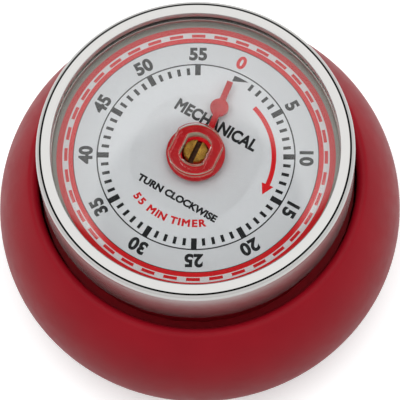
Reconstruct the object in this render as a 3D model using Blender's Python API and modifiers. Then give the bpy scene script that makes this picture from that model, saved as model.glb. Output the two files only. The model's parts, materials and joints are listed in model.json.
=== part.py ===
"""Mechanical kitchen timer: a turned ring on a round shell, with its clockwork and bell inside.

Lengths are in millimetres here and become metres in the helpers. The origin is at the middle
of the underside, +Z is up through the dial, and the dial's zero minute mark points along +Y.
"""
import math

import bmesh
import bpy
from mathutils import Matrix, Vector

MM = 0.001
GAP = 0.3  # between pieces that touch or pass through each other
EDGE_BREAK = 0.2  # small bevel on turned edges
CUT_THROUGH = 1.0  # how far a cutter stands past what it cuts

# Shell: a drawn bowl, wider than its mouth, with an elliptical section above and below its equator
BODY_RADIUS = 35.0
EQUATOR_Z = 12.0
LIP_START_Z = 27.845  # height where the dome ends and the lip starts to curl in
BOWL_DEPTH = 17.6
SHELL_WALL = 0.8
MOUTH_RADIUS = 27.1
LIP_REACH = 1.9  # how far outside the mouth the lip starts to curl in
LIP_TAIL = 0.95  # straight length of the lip, turned down inside the mouth
LIP_BLEND = 4.0  # degrees of the inner wall left out where it meets the lip
RIM_Z = 0.9
RIM_FOLD = 1.7
FLOOR_Z = 2.2

# Back: moulded plate with a pot magnet and a rubber ring
BACK_Z = 0.2
MAGNET_RADIUS = 11.7
MAGNET_HEIGHT = 2.3
CUP_WALL = 1.0
CUP_ROOF = 0.8
CUP_BEVEL = 0.3
BACK_BEVEL = 0.4
BOSS_WALL = 1.0
FOOT_INNER = 15.6
FOOT_OUTER = 18.4
FOOT_HEIGHT = 1.0
SCREW_RADIUS = 0.8
SCREW_HOLE = SCREW_RADIUS + GAP
HEAD_RADIUS = 1.8
HEAD_HEIGHT = 0.6
HEAD_SUNK = 0.1  # how far the back screws' heads lie below the plate's face
DRIVER_SLOT = 0.5

# Movement frame
PLATE_RADIUS = 23.5
PLATE_THICKNESS = 1.0
REAR_PLATE_Z = 17.0
PLATE_SPACING = 13.0  # free height between the two plates
PILLAR_RING = 21.3
PILLAR_RADIUS = 1.4
SPACER_RADIUS = 1.7
THREAD_DEPTH = 4.0
NUT_RADIUS = 1.9
NUT_HEIGHT = 1.2
PILLAR_ANGLES = (85.0, 205.0, 325.0)

# Dial and its carrier
CARRIER_TOP_Z = 35.9
CARRIER_RADIUS = 25.3
CARRIER_WALL = 1.0
CARRIER_TOP = 1.5
CARRIER_PLATFORM = 18.9
CARRIER_FLOOR = 1.2
FLANGE_DROP = 2.2  # from the lip's end down to the underside of the carrier's flange
CARRIER_FLANGE = 1.2
DIAL_RADIUS = 25.0
DIAL_THICKNESS = 0.4
DIAL_SCREW_RING = 12.0
DIAL_SCREW_ANGLES = (150.0, 330.0)

# Turned ring, lens and pointer
RING_CLEARANCE = 0.6  # how much smaller the ring is than the mouth of the shell
RING_WALL = 0.7
RING_TOP_Z = 41.5
RING_SHOULDER = 1.0
SKIRT_LIFT = 3.0  # from the top of the shell's lip up to the ring's skirt
SIGHT_RADIUS = 24.0  # what the ring leaves open over the dial
SIGHT_EDGE = 0.6  # how far the sight's edge lies below the ring's top
SIGHT_BEVEL = 0.3
LENS_SIDE_GAP = 0.4
FLANGE_UNDERSIDE_Z = 40.1
LENS_THICKNESS = 1.2
LENS_RISE = 0.5
BEAD_HEIGHT = 1.2
POINTER_Z = 37.4
POINTER_THICKNESS = 0.9
DISC_MARGIN = 0.3  # how far the pointer's disc shows round the lens's boss
POINTER_ARM = 0.5
MOON_RADIUS = 1.55
MOON_PLACE = 9.0
POINTER_TIP = 13.95
ZERO_OFFSET = 6.5  # the pointer rests this many degrees before the zero minute mark
BORE_FIT = 0.15  # between the arbor and the flats of the lens's bore
BORE_RELIEF = 0.78  # between the arbor and the round ends of that bore
BOSS_FLAT_WALL = 1.93
BOSS_ROUND_WALL = 1.82
BOSS_TOP_Z = 40.8
BOSS_ROOT = 0.5  # how far the lens's sheet runs into its boss

# Main arbor, spring, cam and clutch
ARBOR_RADIUS = 2.0
ARBOR_TOP_Z = 39.5
ARBOR_PIVOT = 1.0
SLOT_WIDTH = 0.9
SLOT_DEPTH = 1.2
HUB_STEP = 1.0  # how far the spring's hub stands out from the arbor
HUB_MARGIN = 0.2
SPRING_STRIP = 0.3
SPRING_START = 0.1
SPRING_MARGIN = 1.7  # between the wound spring and the balance
SPRING_HOOK = 0.5
SPRING_HOOK_TURN = 4.0
SPRING_LEAD_TURN = 70.0
SPRING_TURNS = 5
SPRING_STEPS = 15  # points in each turn of the mainspring
CAM_DROP = 1.6  # from the front plate's underside down to the cam's underside
CAM_RADIUS = 6.5
CAM_NOTCH = 1.5
CAM_NOTCH_HALF = 9.0
CLUTCH_RADIUS = 4.2
CLUTCH_THICKNESS = 0.4
CLUTCH_LOBES = 6
CLUTCH_WAVE = 0.8
CLUTCH_ROOM = 0.5  # between the clutch washer and the spring
STRIP_METAL = 0.8  # thickness of wheels, levers and the cam

# Train: module, teeth and levels of each wheel
MAIN_MODULE = 0.5
MAIN_TEETH = 48
MAIN_LEAVES = 8
FINE_MODULE = 0.4
FINE_TEETH = 42
FINE_LEAVES = 7
CAM_TO_THIRD = 1.5
THIRD_TO_SECOND = 1.7
SPRING_TO_SECOND = 0.8
BEAT_RISE = 0.6  # from the main wheel up to the escape wheel and the striking star
MAIN_HUB = 5.2
MAIN_RIM = 1.45
FINE_HUB = 2.6
FINE_RIM = 1.36
WHEEL_ADDENDUM = 0.8  # in modules
PINION_ADDENDUM = 0.5
DEDENDUM = 1.1
LEAF_OVERLAP = 0.3  # how far a pinion stands past its wheel on each side
STAFF_RADIUS = 0.7
PIVOT_RADIUS = 0.45
PIVOT_SHORT = 0.1  # how far a pivot stops short of its plate's outer face
WHEEL_BORE = STAFF_RADIUS + GAP
ESCAPE_TEETH = 24
ESCAPE_RADIUS = 4.5
ESCAPE_ROOT = 3.6
STAR_TEETH = 10
STAR_RADIUS = 4.5
STAR_ROOT = 3.2
SECOND_ANGLE = 0.0
STRIKE_STEP = -9  # the striking pinion lies this many main wheel teeth from the second one

# Balance
ESCAPE_CLEARANCE = 0.4  # between the escape pinion's arbor and the main wheel's teeth
ESCAPE_TO_BALANCE = 1.5  # how much further out the balance stands
VERGE_DISTANCE = 6.6
VERGE_REACH = 2.4
VERGE_NOSE = (62.0, 76.0)  # degrees from the line between balance and escape wheel
ANCHOR_HUB = 1.5
ANCHOR_WAIST = 30.0
BALANCE_RADIUS = 5.0
BALANCE_RIM = 1.2
BALANCE_HUB = 1.3
BALANCE_SPOKE = 1.6
BALANCE_THICKNESS = 1.4
BALANCE_RISE = 3.0  # above the verge

# Bell and hammer
BELL_RADIUS = 17.0
BELL_RIM_Z = 15.4
BELL_FLOOR_Z = 6.4
BELL_WALL = 0.8
BELL_STRAIGHT = 4.4
BELL_FLAT = 9.0
POST_RADIUS = 2.5
POST_FLANGE = 4.5
POST_FLANGE_HEIGHT = 1.0
POST_NECK = 2.7
BELL_HEAD = 2.6
BELL_HEAD_HEIGHT = 0.9
BEARING_DEPTH = 3.3
HAMMER_CLEARANCE = 0.8  # between the hammer's arbor and the main wheel's teeth
HAMMER_DISTANCE = 6.4
HAMMER_REACH = 2.5
HAMMER_NOSE = (58.0, 70.0)
HAMMER_END = 0.4
HAMMER_BEVEL = 0.3
HAMMER_ARM_Z = 11.4
HAMMER_HEAD_RADIUS = 2.2
HAMMER_HEAD_HEIGHT = 2.7
HAMMER_HEAD_ANGLE = 215.0
HAMMER_REST_GAP = 0.4
HAMMER_HUB = 1.6

# Detent
DETENT_RING = 14.5
DETENT_ANGLE = 235.0
DETENT_NOSE_ANGLE = 200.0
DETENT_HALF_WIDTH = 0.8
DETENT_LIFT_GAP = 0.35
DETENT_TAIL = 3.0
DETENT_HUB = 1.6
DETENT_HEAD = 0.5
CATCH_HALF_WIDTH = 1.4

# Segments round a full turn
SMOOTH = 32
ROUND = 16
SMALL = 8

# Lip: a round curl that leaves the dome along its slope and ends pointing down in the mouth
LIP_START = MOUTH_RADIUS + LIP_REACH
LIP_TURN = math.acos(LIP_START / BODY_RADIUS)
DOME_HEIGHT = (LIP_START_Z - EQUATOR_Z) / math.sin(LIP_TURN)
LIP_NORMAL = math.atan2(math.sin(LIP_TURN) / DOME_HEIGHT, math.cos(LIP_TURN) / BODY_RADIUS)
LIP_RADIUS = LIP_REACH / (1 + math.cos(LIP_NORMAL))
LIP_CENTRE_Z = LIP_START_Z - LIP_RADIUS * math.sin(LIP_NORMAL)
LIP_TOP_Z = LIP_CENTRE_Z + LIP_RADIUS
LIP_END_Z = LIP_CENTRE_Z - LIP_TAIL

# Levels and radii that follow from the sizes above
FRONT_PLATE_Z = REAR_PLATE_Z + PLATE_THICKNESS + PLATE_SPACING
STAFF_LOW_Z = REAR_PLATE_Z + PLATE_THICKNESS + GAP
STAFF_HIGH_Z = FRONT_PLATE_Z - GAP
PIVOT_REACH = PLATE_THICKNESS + GAP - PIVOT_SHORT
MAIN_WHEEL_Z = REAR_PLATE_Z + PLATE_THICKNESS + 2 * GAP
BEAT_Z = MAIN_WHEEL_Z + STRIP_METAL + BEAT_RISE
BALANCE_Z = BEAT_Z + BALANCE_RISE
CLUTCH_Z = MAIN_WHEEL_Z + STRIP_METAL + GAP
CAM_Z = FRONT_PLATE_Z - CAM_DROP
THIRD_WHEEL_Z = CAM_Z - CAM_TO_THIRD
SECOND_WHEEL_Z = THIRD_WHEEL_Z - THIRD_TO_SECOND
SPRING_Z = CLUTCH_Z + CLUTCH_THICKNESS + CLUTCH_ROOM
SPRING_HEIGHT = SECOND_WHEEL_Z - SPRING_TO_SECOND - SPRING_Z
DIAL_Z = CARRIER_TOP_Z + GAP
CARRIER_FLOOR_Z = FRONT_PLATE_Z + PLATE_THICKNESS + GAP
CARRIER_SKIRT_Z = LIP_END_Z - FLANGE_DROP
RING_SKIRT_Z = LIP_TOP_Z + SKIRT_LIFT
RING_RADIUS = MOUTH_RADIUS - RING_CLEARANCE
LENS_RADIUS = RING_RADIUS - RING_WALL - LENS_SIDE_GAP
LENS_TOP_Z = FLANGE_UNDERSIDE_Z - GAP
BEAD_TOP_Z = LENS_TOP_Z - LENS_THICKNESS - GAP
BOSS_FOOT_Z = POINTER_Z + POINTER_THICKNESS + GAP
BOSS_BORE_FLAT = ARBOR_RADIUS + BORE_FIT
BOSS_BORE = ARBOR_RADIUS + BORE_RELIEF
BOSS_FLAT = BOSS_BORE_FLAT + BOSS_FLAT_WALL
BOSS_RADIUS = BOSS_BORE + BOSS_ROUND_WALL
POINTER_DISC = BOSS_RADIUS + DISC_MARGIN
SPRING_HUB = ARBOR_RADIUS + HUB_STEP
SHELL_FLOOR_TOP = FLOOR_Z + SHELL_WALL
CUP_RADIUS = MAGNET_RADIUS + GAP + CUP_WALL
CUP_TOP_Z = MAGNET_HEIGHT + GAP + CUP_ROOF
BOSS_OUTER = CUP_RADIUS + GAP + BOSS_WALL
POST_FOOT_Z = BELL_FLOOR_Z + BELL_WALL + GAP
MAIN_CENTRES = MAIN_MODULE * (MAIN_TEETH + MAIN_LEAVES) / 2
FINE_CENTRES = FINE_MODULE * (FINE_TEETH + FINE_LEAVES) / 2
MAIN_TIP = MAIN_MODULE * (MAIN_TEETH / 2 + WHEEL_ADDENDUM)
ESCAPE_RING = MAIN_TIP + STAFF_RADIUS + ESCAPE_CLEARANCE
BALANCE_RING = ESCAPE_RING + ESCAPE_TO_BALANCE
HAMMER_RING = MAIN_TIP + STAFF_RADIUS + HAMMER_CLEARANCE


def polar(radius, degrees):
    """Point at a radius and an angle from +X."""
    turn = math.radians(degrees)
    return Vector((radius * math.cos(turn), radius * math.sin(turn)))


def heading(vector):
    """Angle of a flat vector from +X, in degrees."""
    return math.degrees(math.atan2(vector.y, vector.x))


def opposite_angle(near, far, across):
    """Angle in degrees between sides near and far of a triangle whose third side is across."""
    return math.degrees(math.acos((near ** 2 + far ** 2 - across ** 2) / (2 * near * far)))


SECOND_PLACE = polar(MAIN_CENTRES, SECOND_ANGLE)
THIRD_ANGLE = SECOND_ANGLE + opposite_angle(MAIN_CENTRES, MAIN_CENTRES, FINE_CENTRES)
THIRD_PLACE = polar(MAIN_CENTRES, THIRD_ANGLE)
ESCAPE_ANGLE = THIRD_ANGLE + opposite_angle(MAIN_CENTRES, ESCAPE_RING, FINE_CENTRES)
ESCAPE_PLACE = polar(ESCAPE_RING, ESCAPE_ANGLE)
BALANCE_ANGLE = ESCAPE_ANGLE + opposite_angle(ESCAPE_RING, BALANCE_RING, VERGE_DISTANCE)
BALANCE_PLACE = polar(BALANCE_RING, BALANCE_ANGLE)
STRIKE_ANGLE = SECOND_ANGLE + STRIKE_STEP * 360.0 / MAIN_TEETH
STRIKE_PLACE = polar(MAIN_CENTRES, STRIKE_ANGLE)
HAMMER_ANGLE = STRIKE_ANGLE - opposite_angle(MAIN_CENTRES, HAMMER_RING, HAMMER_DISTANCE)
HAMMER_PLACE = polar(HAMMER_RING, HAMMER_ANGLE)
DETENT_PLACE = polar(DETENT_RING, DETENT_ANGLE)
HAMMER_HEAD_RING = BELL_RADIUS - BELL_WALL - HAMMER_REST_GAP - HAMMER_HEAD_RADIUS
CATCH_REACH = ((HAMMER_PLACE - DETENT_PLACE).length - DETENT_TAIL - DETENT_HALF_WIDTH
               - CATCH_HALF_WIDTH - 2 * GAP)


def clear_scene():
    for obj in list(bpy.data.objects):
        bpy.data.objects.remove(obj, do_unlink=True)


clear_scene()
TIMER = bpy.data.collections.new("kitchen_timer")
CUTTERS = bpy.data.collections.new("cutters")
bpy.context.scene.collection.children.link(TIMER)
bpy.context.scene.collection.children.link(CUTTERS)


def finish_of(colour, roughness, metallic, alpha=1.0):
    """One Principled material a piece, made when the piece is."""
    return {"colour": colour, "roughness": roughness, "metallic": metallic, "alpha": alpha}


RED_LACQUER = finish_of((0.30, 0.012, 0.022), 0.35, 0.0)
CHROME = finish_of((0.78, 0.78, 0.79), 0.12, 1.0)
BLACK_MOULDING = finish_of((0.02, 0.02, 0.022), 0.5, 0.0)
RUBBER = finish_of((0.03, 0.03, 0.03), 0.8, 0.0)
FERRITE = finish_of((0.05, 0.05, 0.055), 0.6, 0.2)
STEEL = finish_of((0.55, 0.56, 0.58), 0.35, 1.0)
BLUE_STEEL = finish_of((0.10, 0.13, 0.22), 0.3, 1.0)
BRASS = finish_of((0.62, 0.44, 0.16), 0.32, 1.0)
PRINTED_DIAL = finish_of((0.55, 0.56, 0.60), 0.45, 0.3)
RED_MOULDING = finish_of((0.42, 0.02, 0.03), 0.3, 0.0)
CLEAR = finish_of((0.95, 0.97, 0.98), 0.05, 0.0, 0.25)
BELL_METAL = finish_of((0.66, 0.64, 0.60), 0.25, 1.0)


def give_finish(obj, finish):
    material = bpy.data.materials.new(obj.name)
    material.use_nodes = True
    shader = material.node_tree.nodes["Principled BSDF"]
    shader.inputs["Base Color"].default_value = (*finish["colour"], 1.0)
    shader.inputs["Roughness"].default_value = finish["roughness"]
    shader.inputs["Metallic"].default_value = finish["metallic"]
    shader.inputs["Alpha"].default_value = finish["alpha"]
    obj.data.materials.append(material)


def axis_empty(name, place=Vector((0.0, 0.0))):
    """Empty on a vertical axis, which the pieces that turn about it hang from."""
    empty = bpy.data.objects.new(name, None)
    empty.location = (place.x * MM, place.y * MM, 0.0)
    TIMER.objects.link(empty)
    return empty


def add_piece(name, data, finish, parent=None, place=Vector((0.0, 0.0)), height=0.0):
    obj = bpy.data.objects.new(name, data)
    TIMER.objects.link(obj)
    obj.parent = parent
    obj.location = (place.x * MM, place.y * MM, height * MM)
    if finish:
        give_finish(obj, finish)
    return obj


def turned(name, profile, finish, segments=ROUND, parent=None, place=Vector((0.0, 0.0))):
    """Turn a profile of (radius, height) about Z. It runs down its outer side, top to bottom.

    A profile that starts and ends on the axis is left open, and any other is closed to a ring.
    """
    mesh = bpy.data.meshes.new(name)
    count = len(profile)
    edges = [(i, i + 1) for i in range(count - 1)]
    if profile[0][0] > 0.0:
        edges.append((count - 1, 0))
    mesh.from_pydata([(r * MM, 0.0, z * MM) for r, z in profile], edges, [])
    obj = add_piece(name, mesh, finish, parent, place)
    screw = obj.modifiers.new("turn", "SCREW")
    screw.axis = "Z"
    screw.steps = segments
    screw.render_steps = segments
    screw.use_merge_vertices = True
    screw.merge_threshold = 0.000001
    screw.use_smooth_shade = True
    return obj


def flat(name, outlines, thickness, height, finish, parent=None, place=Vector((0.0, 0.0))):
    """Sheet piece: the first outline is its edge and the others are holes."""
    curve = bpy.data.curves.new(name, "CURVE")
    curve.dimensions = "2D"
    curve.fill_mode = "BOTH"
    curve.extrude = thickness / 2 * MM
    for outline in outlines:
        spline = curve.splines.new("POLY")
        spline.points.add(len(outline) - 1)
        for point, corner in zip(spline.points, outline):
            point.co = (corner[0] * MM, corner[1] * MM, 0.0, 1.0)
        spline.use_cyclic_u = True
    return add_piece(name, curve, finish, parent, place, height + thickness / 2)


def circle(radius, count=SMALL, centre=(0.0, 0.0)):
    step = 2 * math.pi / count
    return [
        (centre[0] + radius * math.cos(i * step), centre[1] + radius * math.sin(i * step))
        for i in range(count)
    ]


def arc(centre, radius, start, end, count):
    """Points on an arc from start to end degrees, both ends included."""
    angles = (start + (end - start) * i / (count - 1) for i in range(count))
    return [tuple(Vector(centre) + polar(radius, angle)) for angle in angles]


def strip(path, half_width, cap=5):
    """Outline of a strip of even width along a path, with round ends."""
    points = [Vector(point) for point in path]
    left, right = [], []
    for i, point in enumerate(points):
        before = (point - points[i - 1]).normalized() if i else None
        after = (points[i + 1] - point).normalized() if i < len(points) - 1 else None
        along = ((before or after) + (after or before)).normalized()
        side = Vector((-along.y, along.x)) * (half_width / along.dot(after or before))
        left.append(tuple(point + side))
        right.append(tuple(point - side))
    end = heading(points[-1] - points[-2])
    start = heading(points[0] - points[1])
    end_cap = arc(points[-1], half_width, end - 90, end + 90, cap)
    start_cap = arc(points[0], half_width, start - 90, start + 90, cap)
    return right[1:-1] + end_cap + left[1:-1][::-1] + start_cap


def double_d(radius, half_flat, count=7):
    """Round outline with two flats parallel to Y."""
    edge = math.degrees(math.acos(half_flat / radius))
    upper = arc((0.0, 0.0), radius, edge, 180 - edge, count)
    lower = arc((0.0, 0.0), radius, 180 + edge, 360 - edge, count)
    return upper + lower


def toothed(teeth, module, addendum, fill, tip_fill, facing):
    """Wheel or pinion outline with one tooth centred on the angle facing, in degrees."""
    pitch = 2 * math.pi / teeth
    radius = teeth * module / 2
    root = radius - DEDENDUM * module
    tip = radius + addendum * module
    at_root = pitch * fill / 2
    at_tip = pitch * tip_fill / 2
    section = ((root, -at_root), (tip, -at_tip), (tip, at_tip), (root, at_root))
    outline = []
    for tooth in range(teeth):
        middle = math.radians(facing) + tooth * pitch
        outline += [(r * math.cos(middle + a), r * math.sin(middle + a)) for r, a in section]
    return outline


def wheel_teeth(teeth, module, facing):
    return toothed(teeth, module, WHEEL_ADDENDUM, 0.6, 0.24, facing)


def pinion_leaves(leaves, module, towards):
    """Pinion outline with a space between leaves facing the wheel that drives it."""
    return toothed(leaves, module, PINION_ADDENDUM, 0.5, 0.2, towards + 180.0 / leaves)


def pointed_wheel(teeth, tip, root, lean):
    """Outline with sharp teeth; lean slides each tip round by that share of the pitch."""
    pitch = 360.0 / teeth
    outline = []
    for tooth in range(teeth):
        outline.append(tuple(polar(root, tooth * pitch)))
        outline.append(tuple(polar(tip, (tooth + 0.5 + lean) * pitch)))
    return outline


def crossings(count, hub, rim):
    """Lightening holes, evenly placed and reaching from the hub to the rim."""
    ring = (hub + rim) / 2
    radius = (rim - hub) / 2
    return [circle(radius, SMALL, polar(ring, (i + 0.5) * 360.0 / count)) for i in range(count)]


def anchor(reach, nose, facing):
    """Hub with two noses, each between its two angles from the line that the hub faces."""
    inner, outer = nose
    back = arc((0.0, 0.0), ANCHOR_HUB, outer + ANCHOR_WAIST, 360 - ANCHOR_WAIST - outer, 9)
    front = arc((0.0, 0.0), ANCHOR_HUB, -inner + ANCHOR_WAIST, inner - ANCHOR_WAIST, 5)
    low = [tuple(polar(reach, -outer)), tuple(polar(reach, -inner))]
    high = [tuple(polar(reach, inner)), tuple(polar(reach, outer))]
    turn = Matrix.Rotation(math.radians(facing), 2)
    return [tuple(turn @ Vector(point)) for point in back + low + front + high]


def as_mesh(obj):
    """Replace an object by the closed mesh it evaluates to, at the same place."""
    bpy.context.view_layer.update()
    depsgraph = bpy.context.evaluated_depsgraph_get()
    mesh = bpy.data.meshes.new_from_object(obj.evaluated_get(depsgraph))
    shape = bmesh.new()
    shape.from_mesh(mesh)
    bmesh.ops.remove_doubles(shape, verts=shape.verts, dist=0.000001)
    bmesh.ops.recalc_face_normals(shape, faces=shape.faces)
    shape.to_mesh(mesh)
    shape.free()
    solid = bpy.data.objects.new(obj.name, mesh)
    solid.matrix_world = obj.matrix_world
    name = obj.name
    bpy.data.objects.remove(obj, do_unlink=True)
    solid.name = name
    return solid


def combine(obj, tool, operation):
    """Cut a piece with a tool, or join the tool to it. The tool becomes a hidden guide."""
    if tool.type == "CURVE":
        tool = as_mesh(tool)
        CUTTERS.objects.link(tool)
    else:
        TIMER.objects.unlink(tool)
        CUTTERS.objects.link(tool)
    tool.hide_render = True
    tool.display_type = "WIRE"
    boolean = obj.modifiers.new(operation.lower(), "BOOLEAN")
    boolean.operation = operation
    boolean.solver = "EXACT"
    boolean.object = tool
    return obj


def cutter(radius, low, high):
    """Profile of a round cutter that stands past both ends of what it cuts."""
    return [(0, high + CUT_THROUGH), (radius, high + CUT_THROUGH),
            (radius, low - CUT_THROUGH), (0, low - CUT_THROUGH)]


def shell_radius(height):
    """Outer radius of the shell at a height."""
    semi = DOME_HEIGHT if height > EQUATOR_Z else BOWL_DEPTH
    return BODY_RADIUS * math.sqrt(1 - ((height - EQUATOR_Z) / semi) ** 2)


def shell_section(radius, semi, start, end, count):
    """Points on an ellipse about the equator, by its own angle in degrees."""
    points = []
    for i in range(count):
        turn = math.radians(start + (end - start) * i / (count - 1))
        points.append((radius * math.cos(turn), EQUATOR_Z + semi * math.sin(turn)))
    return points


def make_shell():
    """Deep-drawn bowl: lip turned in at the mouth, walls, folded rim and a raised floor."""
    centre = Vector((MOUTH_RADIUS + LIP_RADIUS, LIP_CENTRE_Z))
    normal = math.degrees(LIP_NORMAL)
    rim_turn = math.degrees(math.asin((RIM_Z - EQUATOR_Z) / BOWL_DEPTH))
    recess = shell_radius(RIM_Z) - RIM_FOLD
    inner_dome = DOME_HEIGHT - SHELL_WALL
    inner_bowl = BOWL_DEPTH - SHELL_WALL
    inner_radius = BODY_RADIUS - SHELL_WALL
    floor_turn = math.degrees(math.asin((SHELL_FLOOR_TOP - EQUATOR_Z) / inner_bowl))
    inner_start = centre + polar(LIP_RADIUS - SHELL_WALL, normal)
    inner_turn = math.degrees(math.asin((inner_start.y - EQUATOR_Z) / inner_dome)) - LIP_BLEND

    outer_lip = arc(centre, LIP_RADIUS, 180, normal, 5)
    inner_lip = arc(centre, LIP_RADIUS - SHELL_WALL, normal, 180, 3)
    profile = [(MOUTH_RADIUS, LIP_END_Z)] + outer_lip
    profile += shell_section(BODY_RADIUS, DOME_HEIGHT, math.degrees(LIP_TURN), 0, 6)[1:]
    profile += shell_section(BODY_RADIUS, BOWL_DEPTH, 0, rim_turn, 5)[1:]
    profile += [(recess, RIM_Z), (recess, FLOOR_Z)]
    profile += [(BOSS_OUTER + GAP, FLOOR_Z), (BOSS_OUTER + GAP, SHELL_FLOOR_TOP)]
    profile += shell_section(inner_radius, inner_bowl, floor_turn, 0, 3)
    profile += shell_section(inner_radius, inner_dome, 0, inner_turn, 4)[1:]
    profile += inner_lip + [(MOUTH_RADIUS + SHELL_WALL, LIP_END_Z)]
    shell = turned("body_shell", profile, RED_LACQUER, SMOOTH)
    for number, angle in enumerate(PILLAR_ANGLES, 1):
        hole = cutter(SCREW_HOLE, FLOOR_Z, SHELL_FLOOR_TOP)
        tool = turned(f"floor_hole_{number}", hole, None, SMALL, None, polar(PILLAR_RING, angle))
        combine(shell, tool, "DIFFERENCE")
    return recess


def make_back(recess):
    """Plate, pot magnet, rubber ring and three screws, all outside the shell's floor."""
    edge = recess - GAP
    top = FLOOR_Z - GAP
    boss_top = CUP_TOP_Z + GAP + BOSS_WALL
    shoulder_z = BACK_Z + HEAD_SUNK + HEAD_HEIGHT + GAP
    groove_top = FOOT_HEIGHT + GAP
    pocket = CUP_RADIUS + GAP
    plate = turned("back_plate", [
        (0, boss_top), (BOSS_OUTER, boss_top), (BOSS_OUTER, top), (edge, top),
        (edge, BACK_Z + BACK_BEVEL), (edge - BACK_BEVEL, BACK_Z),
        (FOOT_OUTER + GAP, BACK_Z), (FOOT_OUTER + GAP, groove_top),
        (FOOT_INNER - GAP, groove_top), (FOOT_INNER - GAP, BACK_Z),
        (pocket, BACK_Z), (pocket, CUP_TOP_Z + GAP), (0, CUP_TOP_Z + GAP),
    ], BLACK_MOULDING, SMOOTH)
    turned("magnet_cup", [
        (0, CUP_TOP_Z), (CUP_RADIUS - CUP_BEVEL, CUP_TOP_Z), (CUP_RADIUS, CUP_TOP_Z - CUP_BEVEL),
        (CUP_RADIUS, 0), (CUP_RADIUS - CUP_WALL, 0),
        (CUP_RADIUS - CUP_WALL, CUP_TOP_Z - CUP_ROOF), (0, CUP_TOP_Z - CUP_ROOF),
    ], STEEL, SMOOTH)
    turned("magnet", [
        (0, MAGNET_HEIGHT), (MAGNET_RADIUS, MAGNET_HEIGHT), (MAGNET_RADIUS, 0), (0, 0),
    ], FERRITE, SMOOTH)
    turned("foot_ring", [
        (FOOT_INNER, FOOT_HEIGHT), (FOOT_OUTER, FOOT_HEIGHT), (FOOT_OUTER, EDGE_BREAK),
        (FOOT_OUTER - EDGE_BREAK, 0), (FOOT_INNER + EDGE_BREAK, 0), (FOOT_INNER, EDGE_BREAK),
    ], RUBBER, SMOOTH)
    for number, angle in enumerate(PILLAR_ANGLES, 1):
        place = polar(PILLAR_RING, angle)
        sink = [(0, top + CUT_THROUGH), (SCREW_HOLE, top + CUT_THROUGH), (SCREW_HOLE, shoulder_z),
                (HEAD_RADIUS + GAP, shoulder_z), (HEAD_RADIUS + GAP, BACK_Z - CUT_THROUGH),
                (0, BACK_Z - CUT_THROUGH)]
        combine(plate, turned(f"back_sink_{number}", sink, None, SMALL, None, place), "DIFFERENCE")
        screw(f"back_screw_{number}", place, shoulder_z - GAP, SHELL_FLOOR_TOP + THREAD_DEPTH, -1)


def slot_outline(radius, width, degrees):
    """Bar across a round piece, along X and then turned by an angle."""
    reach = radius + CUT_THROUGH
    half = width / 2
    turn = Matrix.Rotation(math.radians(degrees), 2)
    corners = ((-reach, -half), (reach, -half), (reach, half), (-reach, half))
    return [tuple(turn @ Vector(corner)) for corner in corners]


def screw(name, place, seat_z, tip_z, side, head=HEAD_RADIUS, height=HEAD_HEIGHT):
    """Cheese-head screw: side is -1 with its head below its seat, or 1 with it above."""
    head_z = seat_z + side * height
    profile = [(0, head_z), (head - EDGE_BREAK, head_z), (head, head_z - side * EDGE_BREAK),
               (head, seat_z), (SCREW_RADIUS, seat_z), (SCREW_RADIUS, tip_z), (0, tip_z)]
    if side < 0:
        profile.reverse()
    piece = turned(name, profile, STEEL, SMALL, None, place)
    bar = flat(f"{name}_slot", [slot_outline(head, DRIVER_SLOT, 0.0)], height,
               head_z - height / 2, None, None, place)
    return combine(piece, bar, "DIFFERENCE")


def make_frame():
    """Two plates, three pillars with nuts, and three spacers that stand on the shell's floor."""
    pivots = [SECOND_PLACE, THIRD_PLACE, ESCAPE_PLACE, BALANCE_PLACE, STRIKE_PLACE]
    pivot_holes = [circle(PIVOT_RADIUS + GAP, SMALL, place) for place in pivots]
    pillar_holes = [
        circle(SCREW_HOLE, SMALL, polar(PILLAR_RING, angle)) for angle in PILLAR_ANGLES]
    dial_holes = [
        circle(SCREW_HOLE, SMALL, polar(DIAL_SCREW_RING, angle)) for angle in DIAL_SCREW_ANGLES]
    edge = circle(PLATE_RADIUS, SMOOTH)
    flat("rear_plate", [edge, circle(POST_NECK + GAP, ROUND)] + pivot_holes + pillar_holes
         + [circle(WHEEL_BORE, SMALL, HAMMER_PLACE)], PLATE_THICKNESS, REAR_PLATE_Z, STEEL)
    flat("front_plate", [edge, circle(ARBOR_RADIUS + GAP, ROUND)] + pivot_holes + pillar_holes
         + dial_holes + [circle(PIVOT_RADIUS + GAP, SMALL, HAMMER_PLACE),
                         circle(SCREW_HOLE, SMALL, DETENT_PLACE)],
         PLATE_THICKNESS, FRONT_PLATE_Z, STEEL)
    for number, angle in enumerate(PILLAR_ANGLES, 1):
        place = polar(PILLAR_RING, angle)
        nut_z = FRONT_PLATE_Z + PLATE_THICKNESS + GAP
        low, high = SHELL_FLOOR_TOP + GAP, REAR_PLATE_Z - GAP
        turned(f"spacer_{number}", [
            (0, high - THREAD_DEPTH), (SCREW_HOLE, high - THREAD_DEPTH), (SCREW_HOLE, high),
            (SPACER_RADIUS, high), (SPACER_RADIUS, low), (SCREW_HOLE, low),
            (SCREW_HOLE, low + THREAD_DEPTH + GAP), (0, low + THREAD_DEPTH + GAP),
        ], STEEL, SMALL, None, place)
        turned(f"pillar_{number}", [
            (0, nut_z + NUT_HEIGHT), (SCREW_RADIUS, nut_z + NUT_HEIGHT),
            (SCREW_RADIUS, STAFF_HIGH_Z), (PILLAR_RADIUS, STAFF_HIGH_Z),
            (PILLAR_RADIUS, STAFF_LOW_Z), (SCREW_RADIUS, STAFF_LOW_Z),
            (SCREW_RADIUS, high - THREAD_DEPTH + GAP), (0, high - THREAD_DEPTH + GAP),
        ], STEEL, SMALL, None, place)
        flat(f"pillar_nut_{number}", [circle(NUT_RADIUS, 6), circle(SCREW_HOLE)],
             NUT_HEIGHT, nut_z, BRASS, None, place)


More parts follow.
